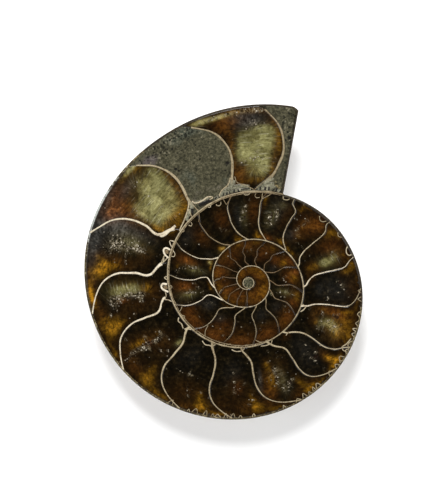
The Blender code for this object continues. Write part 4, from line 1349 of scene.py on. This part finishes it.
def crystal_tree(material):
    """A tree that scatters pointed crystals on fillings, where they sparkle or are hollow."""
    tree = bpy.data.node_groups.new("lined_hollows", "GeometryNodeTree")
    put = tree.interface.new_socket
    put("Fillings", in_out="INPUT", socket_type="NodeSocketGeometry")
    put("Length", in_out="INPUT", socket_type="NodeSocketFloat")
    put("Crystals per square metre", in_out="INPUT", socket_type="NodeSocketFloat")
    put("Seed", in_out="INPUT", socket_type="NodeSocketInt")
    put("Crystals", in_out="OUTPUT", socket_type="NodeSocketGeometry")

    def add(kind, inputs=None, **settings):
        made = tree.nodes.new(kind)
        for name, value in settings.items():
            setattr(made, name, value)
        for name, value in (inputs or {}).items():
            if isinstance(value, bpy.types.NodeSocket):
                tree.links.new(value, made.inputs[name])
            else:
                made.inputs[name].default_value = value
        return made.outputs

    given = add("NodeGroupInput")
    spark = add("GeometryNodeInputNamedAttribute", {"Name": "spark"}, data_type="FLOAT")
    pit = add("GeometryNodeInputNamedAttribute", {"Name": "hollow"}, data_type="FLOAT")
    rich = add("ShaderNodeMapRange", {"Value": spark[0], 1: 0.75, 2: 3.0})
    inside = add("ShaderNodeMath", {0: pit[0], 1: 0.06}, operation="MULTIPLY")
    lined = add("ShaderNodeMath", {0: rich[0], 1: inside[0]}, operation="MAXIMUM")
    density = add("ShaderNodeMath", {0: lined[0], 1: given[2]}, operation="MULTIPLY")
    spread = add("GeometryNodeDistributePointsOnFaces",
                 {"Mesh": given[0], "Density": density[0], "Seed": given[3]},
                 distribute_method="RANDOM")
    point = add("GeometryNodeMeshCone",
                {"Vertices": 5, "Radius Top": 0.10, "Radius Bottom": 0.36, "Depth": 1.0},
                fill_type="NGON")
    lean = add("FunctionNodeRandomValue", {0: (-0.9, -0.9, 0.0), 1: (0.9, 0.9, 6.283)},
               data_type="FLOAT_VECTOR")
    size = add("FunctionNodeRandomValue", {2: 0.45, 3: 1.25}, data_type="FLOAT")
    scale = add("ShaderNodeMath", {0: size[1], 1: given[1]}, operation="MULTIPLY")
    placed = add("GeometryNodeInstanceOnPoints",
                 {"Points": spread[0], "Instance": point[0], "Rotation": lean[0],
                  "Scale": scale[0]})
    tint = add("FunctionNodeRandomValue", {2: 0.0, 3: 1.0, "Seed": 9}, data_type="FLOAT")
    marked = add("GeometryNodeStoreNamedAttribute",
                 {"Geometry": placed[0], "Name": "tint", "Value": tint[1]},
                 data_type="FLOAT", domain="INSTANCE")
    real = add("GeometryNodeRealizeInstances", {"Geometry": marked[0]})
    made = add("GeometryNodeSetMaterial", {"Geometry": real[0], "Material": material})
    result = tree.nodes.new("NodeGroupOutput")
    tree.links.new(made[0], result.inputs[0])
    return tree


def calcite_points(wire):
    """Honey to white calcite, with one tone for each crystal."""
    fine = wire.place().clouds(5.0, 3.0)
    tint = wire.field("tint")
    colour = (tint * 0.8 + fine * 0.2).ramp(
        (0.25, (0.020, 0.012, 0.005)), (0.52, (0.11, 0.075, 0.036)), (0.72, (0.36, 0.29, 0.19)),
        (0.88, (0.76, 0.65, 0.48)),
    )
    return colour, 0.28 + fine * 0.1, fine, 0.01


crystal_stone = stone_material("calcite_points", 0.15, calcite_points)
bed = bmesh.new()
for part in (outer_chambers, inner_chambers, core_chambers):
    bed.from_mesh(part.data)
bed_mesh = bpy.data.meshes.new("hollow_linings")
bed.to_mesh(bed_mesh)
bed.free()
bed_object = into_scene("hollow_linings", bed_mesh)
scatter = bed_object.modifiers.new("lined_hollows", "NODES")
scatter.node_group = crystal_tree(crystal_stone)
for item in scatter.node_group.interface.items_tree:
    if item.name in CRYSTALS:
        scatter[item.identifier] = CRYSTALS[item.name]
evaluated = bed_object.evaluated_get(bpy.context.evaluated_depsgraph_get())
crystal_mesh = bpy.data.meshes.new_from_object(evaluated)
bpy.data.objects.remove(bed_object)
crystal_mesh.name = "hollow_crystals"
dress("hollow_crystals", crystal_mesh)

# ---------------------------------------------------------------------------------------------
# Studio. A white table, one soft light that casts the shadow, three fills that cast none so that
# the table stays white beside the piece, and a camera straight above.

MM_PER_PIXEL = 0.2875
PICTURE_WIDTH = 425
CAMERA_HEIGHT = 0.95
CAMERA_ASIDE = (-0.01035, 0.01021)
SENSOR_WIDTH = 36.0
TABLE_WHITE = (0.96, 0.96, 0.96, 1.0)
WORLD_STRENGTH = 0.06

floor_mesh = bpy.data.meshes.new("table")
floor_mesh.from_pydata([(-3, -3, 0), (3, -3, 0), (3, 3, 0), (-3, 3, 0)], [], [(0, 1, 2, 3)])
table = into_scene("table", floor_mesh)
paper = bpy.data.materials.new("paper")
paper.use_nodes = True
paper_shader = paper.node_tree.nodes["Principled BSDF"]
paper_shader.inputs["Base Color"].default_value = TABLE_WHITE
paper_shader.inputs["Roughness"].default_value = 0.9
floor_mesh.materials.append(paper)

world = bpy.data.worlds.new("studio")
world.use_nodes = True
background = world.node_tree.nodes["Background"]
background.inputs["Color"].default_value = (1.0, 1.0, 1.0, 1.0)
background.inputs["Strength"].default_value = WORLD_STRENGTH
bpy.context.scene.world = world


def softbox(name, where, size, watts, casts_shadow=False):
    """A round area light aimed at the middle of the table."""
    light = bpy.data.lights.new(name, "AREA")
    light.shape = "DISK"
    light.size = size
    light.energy = watts
    light.use_shadow = casts_shadow
    lamp = into_scene(name, light)
    lamp.location = where
    lamp.rotation_euler = (-Vector(where)).to_track_quat("-Z", "Y").to_euler()


softbox("key", (-0.13, 0.87, 0.93), 0.52, 15.9, casts_shadow=True)
softbox("left", (-0.60, 0.05, 1.04), 0.70, 4.5)
softbox("right", (0.60, 0.25, 1.04), 0.70, 5.0)
softbox("front", (-0.10, -0.95, 0.85), 0.90, 4.6)

face_x, face_y, face_height = mount["pos_m"]
camera_data = bpy.data.cameras.new("camera")
camera_data.sensor_fit = "HORIZONTAL"
camera_data.sensor_width = SENSOR_WIDTH
picture_width = PICTURE_WIDTH * MM_PER_PIXEL * 0.001
camera_data.lens = SENSOR_WIDTH * (CAMERA_HEIGHT - face_height) / picture_width
camera = into_scene("camera", camera_data)
camera.location = (face_x + CAMERA_ASIDE[0], face_y + CAMERA_ASIDE[1], CAMERA_HEIGHT)
bpy.context.scene.camera = camera
bpy.context.scene.view_settings.view_transform = "Standard"
